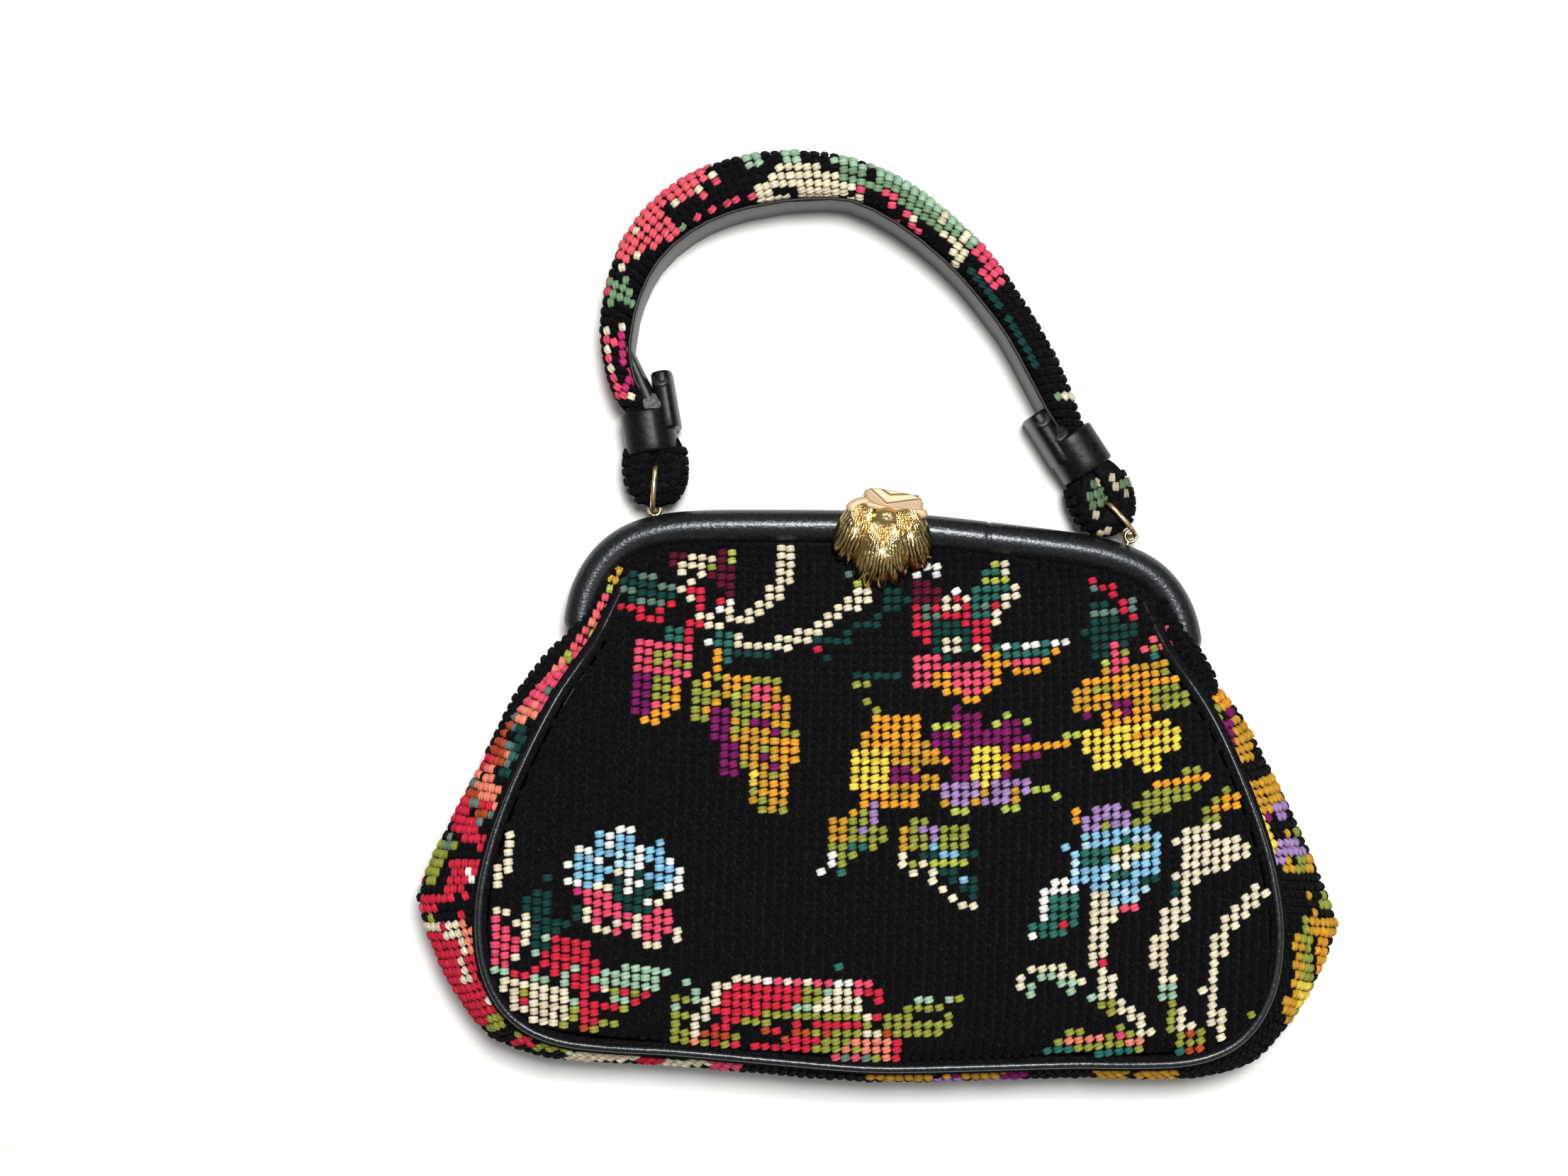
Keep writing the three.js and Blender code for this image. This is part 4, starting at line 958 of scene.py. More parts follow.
FRONT_CHART = [
    *LEFT_STRIPED_LEAF, *BUD, *CREAM_STEMS_TOP, *LEAF_A, *LEAF_B, *OLIVE_SPRIG, *RED_FLOWER,
    *GOLD_EDGED_LEAF, *CREAM_EDGED_LEAF, *TOP_RIGHT_LEAF, *RIGHT_GOLD_FLOWER, *MIDDLE_GOLD_FLOWER,
    *PURPLE_FLOWER, *LOWER_LEAVES, *LEFT_BLUE_FLOWER, *LEFT_TEAL_LEAF, *LEFT_ROSE, *PEONY, *PEONY_LEAF,
    *RIGHT_BLUE_FLOWER, *RIGHT_OLIVE_LEAF, *WHITE_EDGED_LEAF, *CREAM_STAR, *CREAM_STEMS_BELOW,
    *BOTTOM_RIGHT_LEAF,
]

LEFT_GUSSET = [
    *beads("olive", (797, 890)),
    *blocks("pink", (826, 880, 848, 888), (800, 894, 834, 920), (804, 912, 818, 930)),
    *blocks("olive", (826, 886, 838, 896), (790, 919, 804, 932)),
    *blocks("salmon", (780, 932, 804, 944)),
    *blocks(
        "pink", (762, 942, 798, 960), (750, 958, 788, 972), (740, 976, 774, 992), (754, 992, 768, 1008),
    ),
    *blocks("salmon", (730, 992, 756, 1018)),
    *blocks("grey_teal", (770, 971, 780, 980), (720, 1002, 730, 1028), (714, 1040, 726, 1080)),
    *blocks("rust", (714, 1018, 720, 1028), (702, 1028, 716, 1050), (690, 1050, 714, 1086)),
    *blocks("dark_teal", (726, 1022, 744, 1056), (704, 1088, 720, 1100)),
    *blocks("teal", (720, 1056, 732, 1080)),
    *beads("salmon", (713, 1052), (712, 1064)),
    *blocks("red", (678, 1050, 696, 1092)),
    *blocks(
        "salmon", (670, 1080, 680, 1100), (684, 1082, 698, 1098), (670, 1098, 700, 1112),
        (674, 1112, 706, 1126),
    ),
    *blocks("grey_teal", (662, 1094, 672, 1108)),
    *blocks("rust", (662, 1112, 674, 1124)),
    *blocks(
        "red", (678, 1124, 692, 1140), (658, 1100, 664, 1116), (638, 1120, 664, 1170),
        (652, 1166, 662, 1186), (660, 1156, 676, 1188), (672, 1176, 686, 1196),
    ),
    *blocks("salmon", (692, 1124, 700, 1138)),
    *blocks("grey_teal", (664, 1126, 676, 1138), (684, 1140, 694, 1160), (674, 1156, 686, 1168)),
    *blocks("rust", (672, 1136, 684, 1152)),
    *patch(
        "olive", (620, 1186), (629, 1188), (630, 1216), (620, 1240), (608, 1248), (596, 1236),
        (600, 1214), (610, 1200),
    ),
    *blocks("grey_teal", (628, 1179, 640, 1200)),
    *blocks("olive", (640, 1188, 649, 1202)),
    *blocks(
        "red", (636, 1218, 660, 1236), (660, 1213, 682, 1238), (630, 1236, 660, 1258),
        (596, 1256, 620, 1292),
    ),
    *run("white", 6, (660, 1222), (668, 1252)),
    *blocks("grey_teal", (668, 1240, 678, 1252)),
    *blocks("olive", (659, 1255, 670, 1270)),
    *blocks(
        "red", (620, 1260, 638, 1280), (648, 1260, 660, 1274), (642, 1280, 656, 1292),
        (664, 1272, 675, 1282),
    ),
    *beads("olive", (624, 1282), (641, 1272), (637, 1292), (611, 1293)),
    *run("red", 42, (612, 1318), (640, 1372), (684, 1428)),
    *blocks(
        "salmon", (664, 1286, 676, 1302), (644, 1294, 662, 1312), (650, 1310, 670, 1326),
        (660, 1320, 676, 1350),
    ),
    *blocks("red", (658, 1345, 678, 1390), (678, 1396, 692, 1412)),
    *blocks(
        "cream", (600, 1296, 620, 1318), (629, 1302, 645, 1322), (638, 1312, 650, 1328),
        (647, 1328, 658, 1362), (650, 1362, 663, 1392),
    ),
    *beads("white", (680, 1408), (690, 1416)),
    *blocks("olive", (690, 1428, 714, 1456)),
    *beads("red", (588, 1239)),
    *beads("mint", (587, 1256)),
    *beads("pink", (596, 1286)),
]
BASE_STRIP = [
    *blocks("olive", (728, 1458, 760, 1468)),
    *blocks("red", (724, 1464, 756, 1474)),
    *blocks("olive", (755, 1470, 800, 1481)),
    *blocks("cream", (800, 1480, 900, 1495), (935, 1493, 1000, 1502)),
    *blocks("red", (900, 1490, 935, 1500)),
    *blocks("pink", (1000, 1495, 1050, 1507)),
    *blocks(
        "ochre", (1220, 1508, 1320, 1522), (1360, 1510, 1415, 1521), (1543, 1504, 1587, 1520),
        (1604, 1507, 1663, 1520),
    ),
    *blocks("orange", (1333, 1511, 1345, 1521)),
    *blocks("purple", (1343, 1511, 1360, 1521), (1415, 1510, 1445, 1521)),
    *blocks("lilac", (1320, 1520, 1360, 1528), (1390, 1520, 1460, 1528)),
]
RIGHT_GUSSET = [
    *blocks("orange", (1714, 976, 1733, 998)),
    *blocks("olive", (1714, 998, 1726, 1017)),
    *blocks("ochre", (1733, 1015, 1767, 1079), (1745, 1068, 1755, 1092), (1759, 1095, 1807, 1143)),
    *blocks("purple", (1730, 1002, 1741, 1013), (1725, 1017, 1740, 1058)),
    *blocks("olive", (1735, 1060, 1748, 1100)),
    *run("yellow", 25, (1762, 1141), (1800, 1205)),
    *blocks("purple", (1786, 1152, 1797, 1164)),
    *blocks("lilac", (1798, 1133, 1815, 1160), (1802, 1188, 1840, 1206), (1798, 1204, 1813, 1216)),
    *blocks("ochre", (1813, 1173, 1821, 1187), (1813, 1203, 1824, 1230), (1838, 1200, 1852, 1230)),
    *blocks("olive", (1826, 1173, 1834, 1184), (1829, 1203, 1840, 1230), (1863, 1262, 1878, 1288)),
    *blocks("ochre", (1844, 1249, 1848, 1270), (1848, 1277, 1861, 1295), (1850, 1293, 1887, 1322)),
    *blocks("orange", (1857, 1306, 1872, 1392)),
    *blocks("olive", (1836, 1292, 1848, 1319), (1834, 1319, 1850, 1392)),
    *blocks("ochre", (1824, 1318, 1837, 1405), (1813, 1405, 1829, 1446)),
    *blocks("yellow", (1829, 1381, 1848, 1432)),
    *blocks("olive", (1826, 1427, 1834, 1440)),
]
GUSSET_CHART = [*LEFT_GUSSET, *BASE_STRIP, *RIGHT_GUSSET]

HANDLE_LEFT = [
    *patch(
        "coral", (993, 231), (1000, 238), (995, 262), (980, 280), (958, 290), (940, 292), (950, 320),
        (955, 328), (930, 350), (920, 355), (908, 350), (890, 365), (885, 375), (875, 372), (870, 362),
        (880, 335), (900, 308), (920, 277), (950, 255), (980, 238),
    ),
    *beads("cream", (895, 325), (950, 289), (965, 295), (980, 287), (988, 268), (1005, 246), (1012, 238)),
    *beads("grey_teal", (915, 310)),
    *beads("black", (905, 355)),
    *blocks("pink", (1005, 249, 1015, 256), (990, 269, 1002, 278)),
    *beads("pink", (1007, 298), (1024, 290), (1039, 284), (1056, 278), (984, 310)),
    *beads("green", (965, 319)),
    *beads("cream", (895, 363), (878, 378), (893, 378), (880, 390), (890, 395)),
    *beads("pink", (887, 372)),
    *blocks("green", (860, 390, 892, 430)),
    *blocks("pink", (852, 397, 861, 418)),
    *beads("green", (877, 456)),
    *blocks("cream", (852, 458, 866, 475), (875, 458, 883, 471)),
    *blocks(
        "pink", (854, 477, 873, 494), (857, 504, 868, 517), (860, 527, 875, 543), (869, 543, 883, 558),
    ),
    *blocks("magenta", (873, 472, 881, 491), (875, 494, 882, 512), (881, 524, 892, 547)),
    *blocks("cream", (855, 493, 866, 504), (858, 517, 869, 527), (871, 558, 883, 567)),
    *beads("cream", (880, 518), (893, 556)),
]
HANDLE_TOP = [
    *blocks("mint", (1052, 215, 1072, 235), (1106, 214, 1125, 232)),
    *blocks(
        "cream", (1090, 228, 1160, 240), (1078, 241, 1192, 255), (1060, 255, 1210, 268),
        (1068, 272, 1118, 284), (1125, 266, 1190, 277), (1200, 275, 1222, 288),
    ),
    *blocks("black", (1160, 216, 1175, 240)),
]
HANDLE_RIGHT = [
    *run("mint", 16, (1185, 226), (1250, 244), (1320, 285), (1372, 338)),
    *run("green", 26, (1192, 244), (1245, 262), (1310, 302), (1362, 352)),
    *blocks("black", (1224, 236, 1240, 260), (1205, 224, 1220, 233)),
    *blocks(
        "pink", (1212, 265, 1222, 274), (1241, 267, 1252, 276), (1255, 274, 1270, 285),
        (1257, 289, 1265, 298), (1270, 293, 1283, 308), (1263, 306, 1272, 316), (1277, 311, 1290, 322),
        (1293, 319, 1305, 329), (1306, 327, 1317, 336), (1318, 334, 1326, 343),
    ),
    *blocks(
        "cream", (1284, 301, 1292, 311), (1320, 300, 1335, 312), (1330, 322, 1340, 332),
        (1335, 330, 1365, 345), (1344, 340, 1366, 358), (1343, 363, 1355, 377),
    ),
    *run("pink", 24, (1383, 350), (1395, 374), (1408, 402)),
    *run("dark_teal", 7, (1365, 378), (1420, 440), (1455, 500), (1480, 545)),
    *blocks("green", (1487, 548, 1497, 563)),
    *blocks(
        "cream", (1479, 548, 1486, 560), (1483, 560, 1493, 571), (1497, 549, 1505, 559),
        (1498, 558, 1512, 569),
    ),
    *beads("white", (1508, 603)),
]
RIGHT_FOLD = [
    *blocks("green", (1533, 683, 1546, 714), (1546, 688, 1559, 719), (1579, 673, 1589, 686)),
    *blocks("cream", (1539, 717, 1546, 736), (1552, 736, 1565, 752), (1589, 673, 1601, 691)),
    *beads("cream", (1548, 680), (1573, 679), (1579, 689), (1587, 697)),
]
HANDLE_CHART = [*HANDLE_LEFT, *HANDLE_TOP, *HANDLE_RIGHT, *RIGHT_FOLD]


# Stitches

BEAN_RINGS = ((-0.40, 0.80), (0.0, 1.0), (0.40, 0.80))


def bean(sides):
    """One plump strand as points (along, across, up), its faces' corners and corner counts."""
    turn = round_places(sides)
    points = [(-0.5, 0.0, 0.0)]
    for along, reach in BEAN_RINGS:
        points += [(along, reach * math.cos(t), reach * math.sin(t)) for t in turn]
    points.append((0.5, 0.0, 0.0))
    last = len(points) - 1
    faces = []
    for i in range(sides):
        j = (i + 1) % sides
        faces.append((0, 1 + j, 1 + i))
        for ring in range(len(BEAN_RINGS) - 1):
            a = 1 + ring * sides
            faces.append((a + i, a + j, a + sides + j, a + sides + i))
        a = 1 + (len(BEAN_RINGS) - 1) * sides
        faces.append((a + i, a + j, last))
    corners = np.array([c for face in faces for c in face])
    return np.array(points), corners, np.array([len(face) for face in faces])


# One row per kind of stitch: strand offsets across it, lean, length, half width, height, crown, sides
STITCHES = {
    "flower": dict(
        offsets=(-0.48, 0.48), lean=20, length=3.05, width=0.74, height=0.80, crown=0.30, sides=6
    ),
    "ground": dict(offsets=(0.0,), lean=58, length=3.3, width=1.16, height=0.66, crown=0.22, sides=6),
    "back": dict(offsets=(0.0,), lean=40, length=3.1, width=1.0, height=0.55, crown=0.2, sides=4),
}
# How much stitches differ: lean in degrees, length, height and tone as shares, place in mm
LEAN_SPREAD = 6.0
LENGTH_SPREAD = 0.05
HEIGHT_SPREAD = 0.09
PLACE_SPREAD = 0.09
TONE_SPREAD = 0.11
STITCH_SINK = 0.35 * CANVAS_DROP
DARKEST = 0.002


def stitch_mesh(name, kind, places, right, up, out, light):
    """Stitches of one kind standing on the canvas; light is each stitch's colour, and each strand gets
    painted shade.
    """
    form = STITCHES[kind]
    shape, corners, sizes = bean(form["sides"])
    count = len(places)
    lean = np.radians(form["lean"] + rng.normal(0, LEAN_SPREAD, count))[:, None]
    along = unit(right * np.cos(lean) + up * np.sin(lean))
    across = np.cross(out, along)
    length = form["length"] * rng.normal(1, LENGTH_SPREAD, count)[:, None, None]
    height = form["height"] * rng.normal(1, HEIGHT_SPREAD, count)[:, None, None]
    seat = places - out * STITCH_SINK + rng.normal(0, PLACE_SPREAD, (count, 3))
    rise = form["crown"] * (1 - 4 * shape[:, 0] ** 2)
    # Painted shade and light: each strand's colour is darker on its underside and at its ends, and a
    # little lighter on its top
    shade = np.clip(0.80 + 0.26 * shape[:, 2], 0.5, 1.06) * (1 - 0.5 * np.abs(shape[:, 0]))
    points = []
    tints = []
    for offset in form["offsets"]:
        ply = (
            seat[:, None]
            + shape[:, 0][None, :, None] * length * along[:, None]
            + (shape[:, 1] * form["width"] + offset)[None, :, None] * across[:, None]
            + (shape[:, 2][None, :, None] * height + rise[None, :, None]) * out[:, None]
        )
        tone = light * rng.normal(1, TONE_SPREAD, (count, 1))
        points.append(ply)
        tints.append(tone[:, None] * shade[None, :, None])
    points = np.concatenate(points).reshape(-1, 3)
    tints = np.clip(np.concatenate(tints).reshape(-1, 3), DARKEST, 1)
    strands = count * len(form["offsets"])
    starts = np.repeat(np.arange(strands) * len(shape), len(corners))
    corners = np.tile(corners, strands) + starts
    return array_mesh(name, points, corners, np.tile(sizes, strands), tints)


def needlepoint(name, lattice, chart, ground="ground"):
    """The stitches of one wall: black ground and coloured flowers as two pieces."""
    yarns = chart_yarns(to_photo(lattice[0]), chart)
    for label, kind, mine in (("ground", ground, yarns == 0), ("flowers", "flower", yarns > 0)):
        if mine.any():
            picked = [part[mine] for part in lattice]
            mesh = stitch_mesh(f"{name}_{label}", kind, *picked, YARN_LIGHT[yarns[mine]])
            new_object(f"{name}_{label}", mesh, wool, "bag")


# A stitch needs wall this far round it, facing out by this share and with no higher step
EDGE_MARGIN = 0.4
LEAST_FACING = 0.1
HIGHEST_STEP = 5.0
NEIGHBOURS = ((0, 0), (1, 0), (-1, 0), (0, 1), (0, -1))
# The rows begin below the wall and run past its top, because they sag
ROWS_START = 12.0
ROWS_SPARE = 14.0


def front_lattice(tree, low, high, facing, start_z):
    """Stitch places on a wall that faces up or down: rows that sag slightly in the middle."""
    places, outs = [], []
    ray = (0, 0, -facing)
    for row in range(int((high[1] - low[1] + ROWS_SPARE) / CELL_UP)):
        for column in range(int((high[0] - low[0]) / CELL_ACROSS) + 1):
            x = low[0] + column * CELL_ACROSS
            y = low[1] - ROWS_START + row * CELL_UP + ROW_SMILE * (x - SMILE_MIDDLE) ** 2
            hits = [
                cast(tree, (x + dx * EDGE_MARGIN, y + dy * EDGE_MARGIN, start_z), ray)
                for dx, dy in NEIGHBOURS
            ]
            if None in hits or min(h[1][2] * facing for h in hits) < LEAST_FACING:
                continue
            if max(abs(h[0][2] - hits[0][0][2]) for h in hits) > HIGHEST_STEP:
                continue
            places.append(hits[0][0])
            outs.append(np.mean([h[1] for h in hits], axis=0))
    places = np.array(places)
    out = unit(np.array(outs))
    slope = 2 * ROW_SMILE * (places[:, 0] - SMILE_MIDDLE)
    right = np.stack([np.ones(len(places)), slope, np.zeros(len(places))], 1) * [facing, facing, 1]
    right = unit(right - out * np.sum(right * out, axis=1, keepdims=True))
    return places, right, np.cross(out, right), out


LOOK_ALONG = 1.2
LOOK_UP = 0.9


def swept_lattice(sections, anchor, margin=0.8):
    """Stitch places on a wall given as sections: even columns along it, even rows from the anchor."""
    keep = [k for k, section in enumerate(sections) if not np.isnan(section[anchor, 0])]
    steps = lengths_along(np.array([sections[k][anchor] for k in keep]))

    def rows_at(place):
        """A section's line at a place along the wall, by its own length from the anchor."""
        k = int(np.clip(np.searchsorted(steps, place) - 1, 0, len(keep) - 2))
        share = np.clip((place - steps[k]) / max(steps[k + 1] - steps[k], 1e-9), 0, 1)
        a, b = sections[keep[k]], sections[keep[k + 1]]
        line = a * (1 - share) + b * share
        good = ~np.isnan(line[:, 0])
        first = anchor
        while first > 0 and good[first - 1]:
            first -= 1
        last = anchor
        while last < len(line) - 1 and good[last + 1]:
            last += 1
        line = line[first : last + 1]
        length = lengths_along(line)
        return line, length - length[anchor - first]

    def point_at(line, length, offsets):
        """Points of a line at lengths from its anchor."""
        return np.stack([np.interp(offsets, length, line[:, k]) for k in range(3)], 1)

    places, rights, ups = [], [], []
    for column in range(1, int(steps[-1] / CELL_ACROSS)):
        place = column * CELL_ACROSS
        line, length = rows_at(place)
        first = math.ceil((length[0] + margin) / CELL_UP)
        last = math.floor((length[-1] - margin) / CELL_UP)
        if last < first:
            continue
        offsets = np.arange(first, last + 1) * CELL_UP
        here = point_at(line, length, offsets)
        ahead = point_at(*rows_at(min(place + LOOK_ALONG, steps[-1])), offsets)
        behind = point_at(*rows_at(max(place - LOOK_ALONG, 0)), offsets)
        places.append(here)
        rights.append(ahead - behind)
        above = point_at(line, length, offsets + LOOK_UP)
        ups.append(above - point_at(line, length, offsets - LOOK_UP))
    places, right, up = (np.concatenate(part) for part in (places, rights, ups))
    right = unit(right)
    out = unit(np.cross(right, up))
    return places, right, unit(np.cross(out, right)), out


# Front and back walls

FRAME_EYE = np.array([0.0, 43.0])
FRAME_BEARINGS = np.radians(np.linspace(1.0, 179.0, 721))
COLLAR_STEPS = 14
COLLAR_SEARCH = np.arange(0, 40, 0.4)
COLLAR_LAP = 1.2
COLLAR_SINK = 0.2
COLLAR_THICK = 0.6
BACK_SEAT = 1.3


def canvas_core(name, node):
    """The canvas below the stitches of a CAD node, which it takes the place of."""
    core = new_object(name, welded_copy(name, node, -CANVAS_DROP), canvas, "bag")
    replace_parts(core, node)
    return core


def frame_line(node):
    """The middle line of a frame half, found from inside the bag's mouth."""
    low, high = node_box(node)
    tree = node_tree(node)
    level = (low[2] + high[2]) / 2
    line = []
    for bearing in FRAME_BEARINGS:
        aim = heading(bearing)
        near = cast(tree, (*FRAME_EYE, level), aim)
        far = cast(tree, (*(FRAME_EYE + aim[:2] * RAY_PAST_FRAME), level), -aim)
        if near is not None and far is not None:
            line.append((near[0] + far[0]) / 2)
    return smoothed(evenly(smoothed(np.array(line), 6), 0.7), 4)


def collar_grid(tree):
    """The wall's upper margin, from its edge out to the middle of the frame."""
    rows = []

    def drop(place):
        """The place on the front below a place of the plan."""
        return cast(tree, (*place[:2], RAY_ABOVE), (0, 0, -1))

    for place in frame_line("frame_front"):
        inward = unit(np.array([*(FRAME_EYE - place[:2]), 0.0]))
        for reach in COLLAR_SEARCH:
            hit = drop(place + inward * reach)
            if hit is None:
                continue
            lap = drop(place + inward * (reach + COLLAR_LAP))
            edge = (lap or hit)[0] - [0, 0, COLLAR_SINK]
            rows.append(edge + (place - edge) * np.linspace(0, 1, COLLAR_STEPS)[:, None])
            break
    return np.array(rows)


front_tree = node_tree("front_panel")
collar = collar_grid(front_tree)
collar_solid = np.concatenate([collar, collar[:, ::-1] - [0, 0, COLLAR_THICK]], 1)
collar_mesh = grid_mesh("collar_canvas", collar_solid - [0, 0, CANVAS_DROP])
new_object("collar_canvas", collar_mesh, canvas, "bag")
collar_faces = [
    [i * COLLAR_STEPS + j for i, j in ((r, c), (r, c + 1), (r + 1, c + 1), (r + 1, c))]
    for r in range(len(collar) - 1)
    for c in range(COLLAR_STEPS - 1)
]
front_tree = node_tree("front_panel", extra=(collar.reshape(-1, 3), collar_faces))
needlepoint("front", front_lattice(front_tree, *node_box("front_panel"), 1, RAY_ABOVE), FRONT_CHART)
front_canvas = canvas_core("front_canvas", "front_panel")

back = front_lattice(node_tree("back_panel"), *node_box("back_panel"), -1, RAY_BELOW)
back = (back[0] - back[3] * BACK_SEAT, *back[1:])
needlepoint("back", back, (), ground="back")
canvas_core("back_canvas", "back_panel")

# Gusset: sections looked at from outside, round a place inside the wall

GUSSET_MIDDLE = np.array([0.0, -10.0])
GUSSET_HEIGHT = 22.0
GUSSET_INSET = 22.0
GUSSET_BEARINGS = np.radians(np.linspace(145, 395, 1001))
GUSSET_LOOKS = np.radians(np.linspace(-80, 80, 81))
GUSSET_RAY = 70.0
GUSSET_LEAST = 4.0


def section_round(tree, heart, aim, looks, ray, least):
    """A wall's section, looked at from outside towards a place within."""
    section = np.full((len(looks), 3), np.nan)
    for k, look in enumerate(looks):
        way = aim * math.cos(look) + UP * math.sin(look)
        found = cast(tree, heart + way * ray, -way)
        if found is not None and (found[0] - heart) @ way > least:
            section[k] = found[0]
    return section


def gusset_section(tree, bearing):
    """A section of the gusset, or none where it is open."""
    aim = heading(bearing)
    hit = cast(tree, (*(GUSSET_MIDDLE + aim[:2] * RAY_OUTSIDE), GUSSET_HEIGHT), -aim)
    if hit is None:
        return np.full((len(GUSSET_LOOKS), 3), np.nan)
    heart = hit[0] - aim * GUSSET_INSET
    return section_round(tree, heart, aim, GUSSET_LOOKS, GUSSET_RAY, GUSSET_LEAST)


gusset_tree = node_tree("gusset")
gusset_sections = [gusset_section(gusset_tree, bearing) for bearing in GUSSET_BEARINGS]
needlepoint("gusset", swept_lattice(gusset_sections, len(GUSSET_LOOKS) // 2), GUSSET_CHART)
canvas_core("gusset_canvas", "gusset")

# Pleats: the gusset's ends, drawn up beside the panel into the frame's corners

PLEAT_DROP = 6.5
PLEAT_INSET = 0.5
PLEAT_STEP = 0.5
PLEAT_SIDES = 40
PLEAT_LOOKS = np.radians(np.linspace(-78, 78, 41))
# One row per step down from the frame: place in the photo, height and half width
PLEATS = {
    "left": (
        (882, 792, 19.5, 1.3), (866, 822, 20.8, 2.4), (851, 847, 22.0, 3.1), (841, 868, 23.0, 3.6),
        (822, 895, 24.3, 4.4), (803, 921, 25.8, 5.4), (782, 946, 26.6, 6.0), (763, 973, 26.6, 6.0),
        (744, 995, 26.2, 5.6), (729, 1014, 25.8, 5.0), (718, 1032, 25.4, 4.4), (707, 1049, 25.0, 3.6),
        (694, 1066, 24.6, 2.6), (682, 1081, 24.2, 1.2),
    ),
    "right": (
        (1640, 832, 19.5, 1.3), (1647, 857, 21.0, 2.4), (1656, 882, 22.2, 3.4), (1668, 905, 23.4, 4.1),
        (1682, 928, 24.8, 4.4), (1695, 950, 26.2, 4.4), (1707, 970, 27.2, 3.6), (1719, 987, 27.8, 1.6),
    ),
}
PLEAT_CHART = [
    *patch(
        "coral", (868, 803), (860, 824), (845, 846), (827, 883), (801, 920), (776, 942), (752, 968),
        (775, 985), (797, 950), (822, 919), (852, 882), (868, 860), (878, 820), (888, 792), mix="salmon",
    ),
    *patch("ochre", (862, 806), (892, 784), (884, 818), (870, 832), (856, 828), mix="yellow"),
    *beads("lime", (866, 826), (834, 893), (804, 925), (790, 950)),
]


def pleat_line(rows):
    """A pleat's middle line, half widths and sideways direction at even steps."""
    points = np.array([(*to_plan(px, py, z), z, half) for px, py, z, half in rows])
    along = lengths_along(points[:, :3])
    places = np.arange(0, along[-1], PLEAT_STEP)
    line = np.stack([np.interp(places, along, points[:, k]) for k in range(4)], 1)
    line = smoothed(line, 5)
    ahead = np.gradient(line[:, :3], axis=0) * [1, 1, 0]
    side = unit(np.stack([-ahead[:, 1], ahead[:, 0], ahead[:, 2]], 1))
    return line[:, :3], line[:, 3], side


def pleat_sections(rows, looks, inset):
    """Sections over a pleat, rounded from side to side."""
    line, half, side = pleat_line(rows)
    across = (half - inset)[:, None] * np.sin(looks)
    rise = (PLEAT_DROP - inset) * np.cos(looks) - PLEAT_DROP
    sections = line[:, None] + across[..., None] * side[:, None]
    sections[..., 2] += rise
    return sections


for side, rows in PLEATS.items():
    rings = pleat_sections(rows, round_places(PLEAT_SIDES), PLEAT_INSET)
    mesh = grid_mesh(f"pleat_core_{side}", rings)
    pleat_core = new_object(f"pleat_core_{side}", mesh, canvas, "bag")
    sections = list(pleat_sections(rows, PLEAT_LOOKS, 0.0))
    pleat = swept_lattice(sections, len(PLEAT_LOOKS) // 2, margin=0.2)
    needlepoint(f"pleat_{side}", pleat, PLEAT_CHART if side == "left" else ())

# Handle: a padded strap on its edge, with both ends folded round the links

STRAP_HEIGHT = 12.5
STRAP_LOOKS = np.radians(np.linspace(-100, 190, 117))
STRAP_TOP_LOOK = int(np.argmin(np.abs(STRAP_LOOKS - math.radians(60))))
ARCH_MIDDLE = np.array([-17.0, 120.0])
ARCH_BEARINGS = np.radians(np.linspace(-9, 188, 789))
STRAP_RAY = 35.0
STRAP_LEAST = 1.0


def strap_section(tree, bearing):
    """A section of the arch round its own middle line."""
    aim = heading(bearing)
    start = np.array([*ARCH_MIDDLE, STRAP_HEIGHT])
    outer = cast(tree, start + aim * RAY_PAST_ARCH, -aim)
    inner = cast(tree, start, aim)
    if outer is None or inner is None:
        return np.full((len(STRAP_LOOKS), 3), np.nan)
    heart = (inner[0] + outer[0]) / 2
    return section_round(tree, heart, aim, STRAP_LOOKS, STRAP_RAY, STRAP_LEAST)


strap_tree = node_tree("handle_strap")
arch = swept_lattice([strap_section(strap_tree, b) for b in ARCH_BEARINGS], STRAP_TOP_LOOK)
needlepoint("handle", arch, HANDLE_CHART)
handle_core = canvas_core("handle_core", "handle_strap")

# The folded ends: plump lobes with a crease where the link enters
FOLD_STEPS = 81
FOLD_LOOKS = np.radians(np.linspace(-60, 240, 121))
FOLD_LEVEL = 12.6
FOLDS = {
    "left": dict(x=-74.2, y=101.4, slope=94, width=10.0, length=12.9, height=9.9),
    "right": dict(x=67.2, y=96.2, slope=112, width=10.0, length=13.0, height=9.9),
}
FOLD_SPAN = (-0.995, 0.80)
FOLD_SIDES = 56
FOLD_POWER = 0.8
CORE_INSET = dict(width=0.3, height=0.5)
CREASE_WIDTH = 0.16
CREASE_DEPTH = 2.4


def fold_rings(form, looks):
    """Rings of points along a folded end, from its foot to the keeper."""
    along = heading(math.radians(form["slope"]))
    side = np.array([along[1], -along[0], 0.0])
    s = np.linspace(*FOLD_SPAN, FOLD_STEPS)[:, None]
    taper = (1 - np.abs(s) ** 2.3) ** 0.48
    across = squared(np.cos(looks), FOLD_POWER) * taper
    rise = squared(np.sin(looks), FOLD_POWER) * (0.35 + 0.65 * taper)
    crease = CREASE_DEPTH * np.exp(-((across / CREASE_WIDTH) ** 2)) * (rise > 0) * taper
    level = FOLD_LEVEL + form["height"] * rise - crease
    middle = np.array([form["x"], form["y"], 0.0])
    plan = middle + (form["length"] * s)[..., None] * along
    plan = plan + (form["width"] * across)[..., None] * side
    plan[..., 2] = level
    return plan


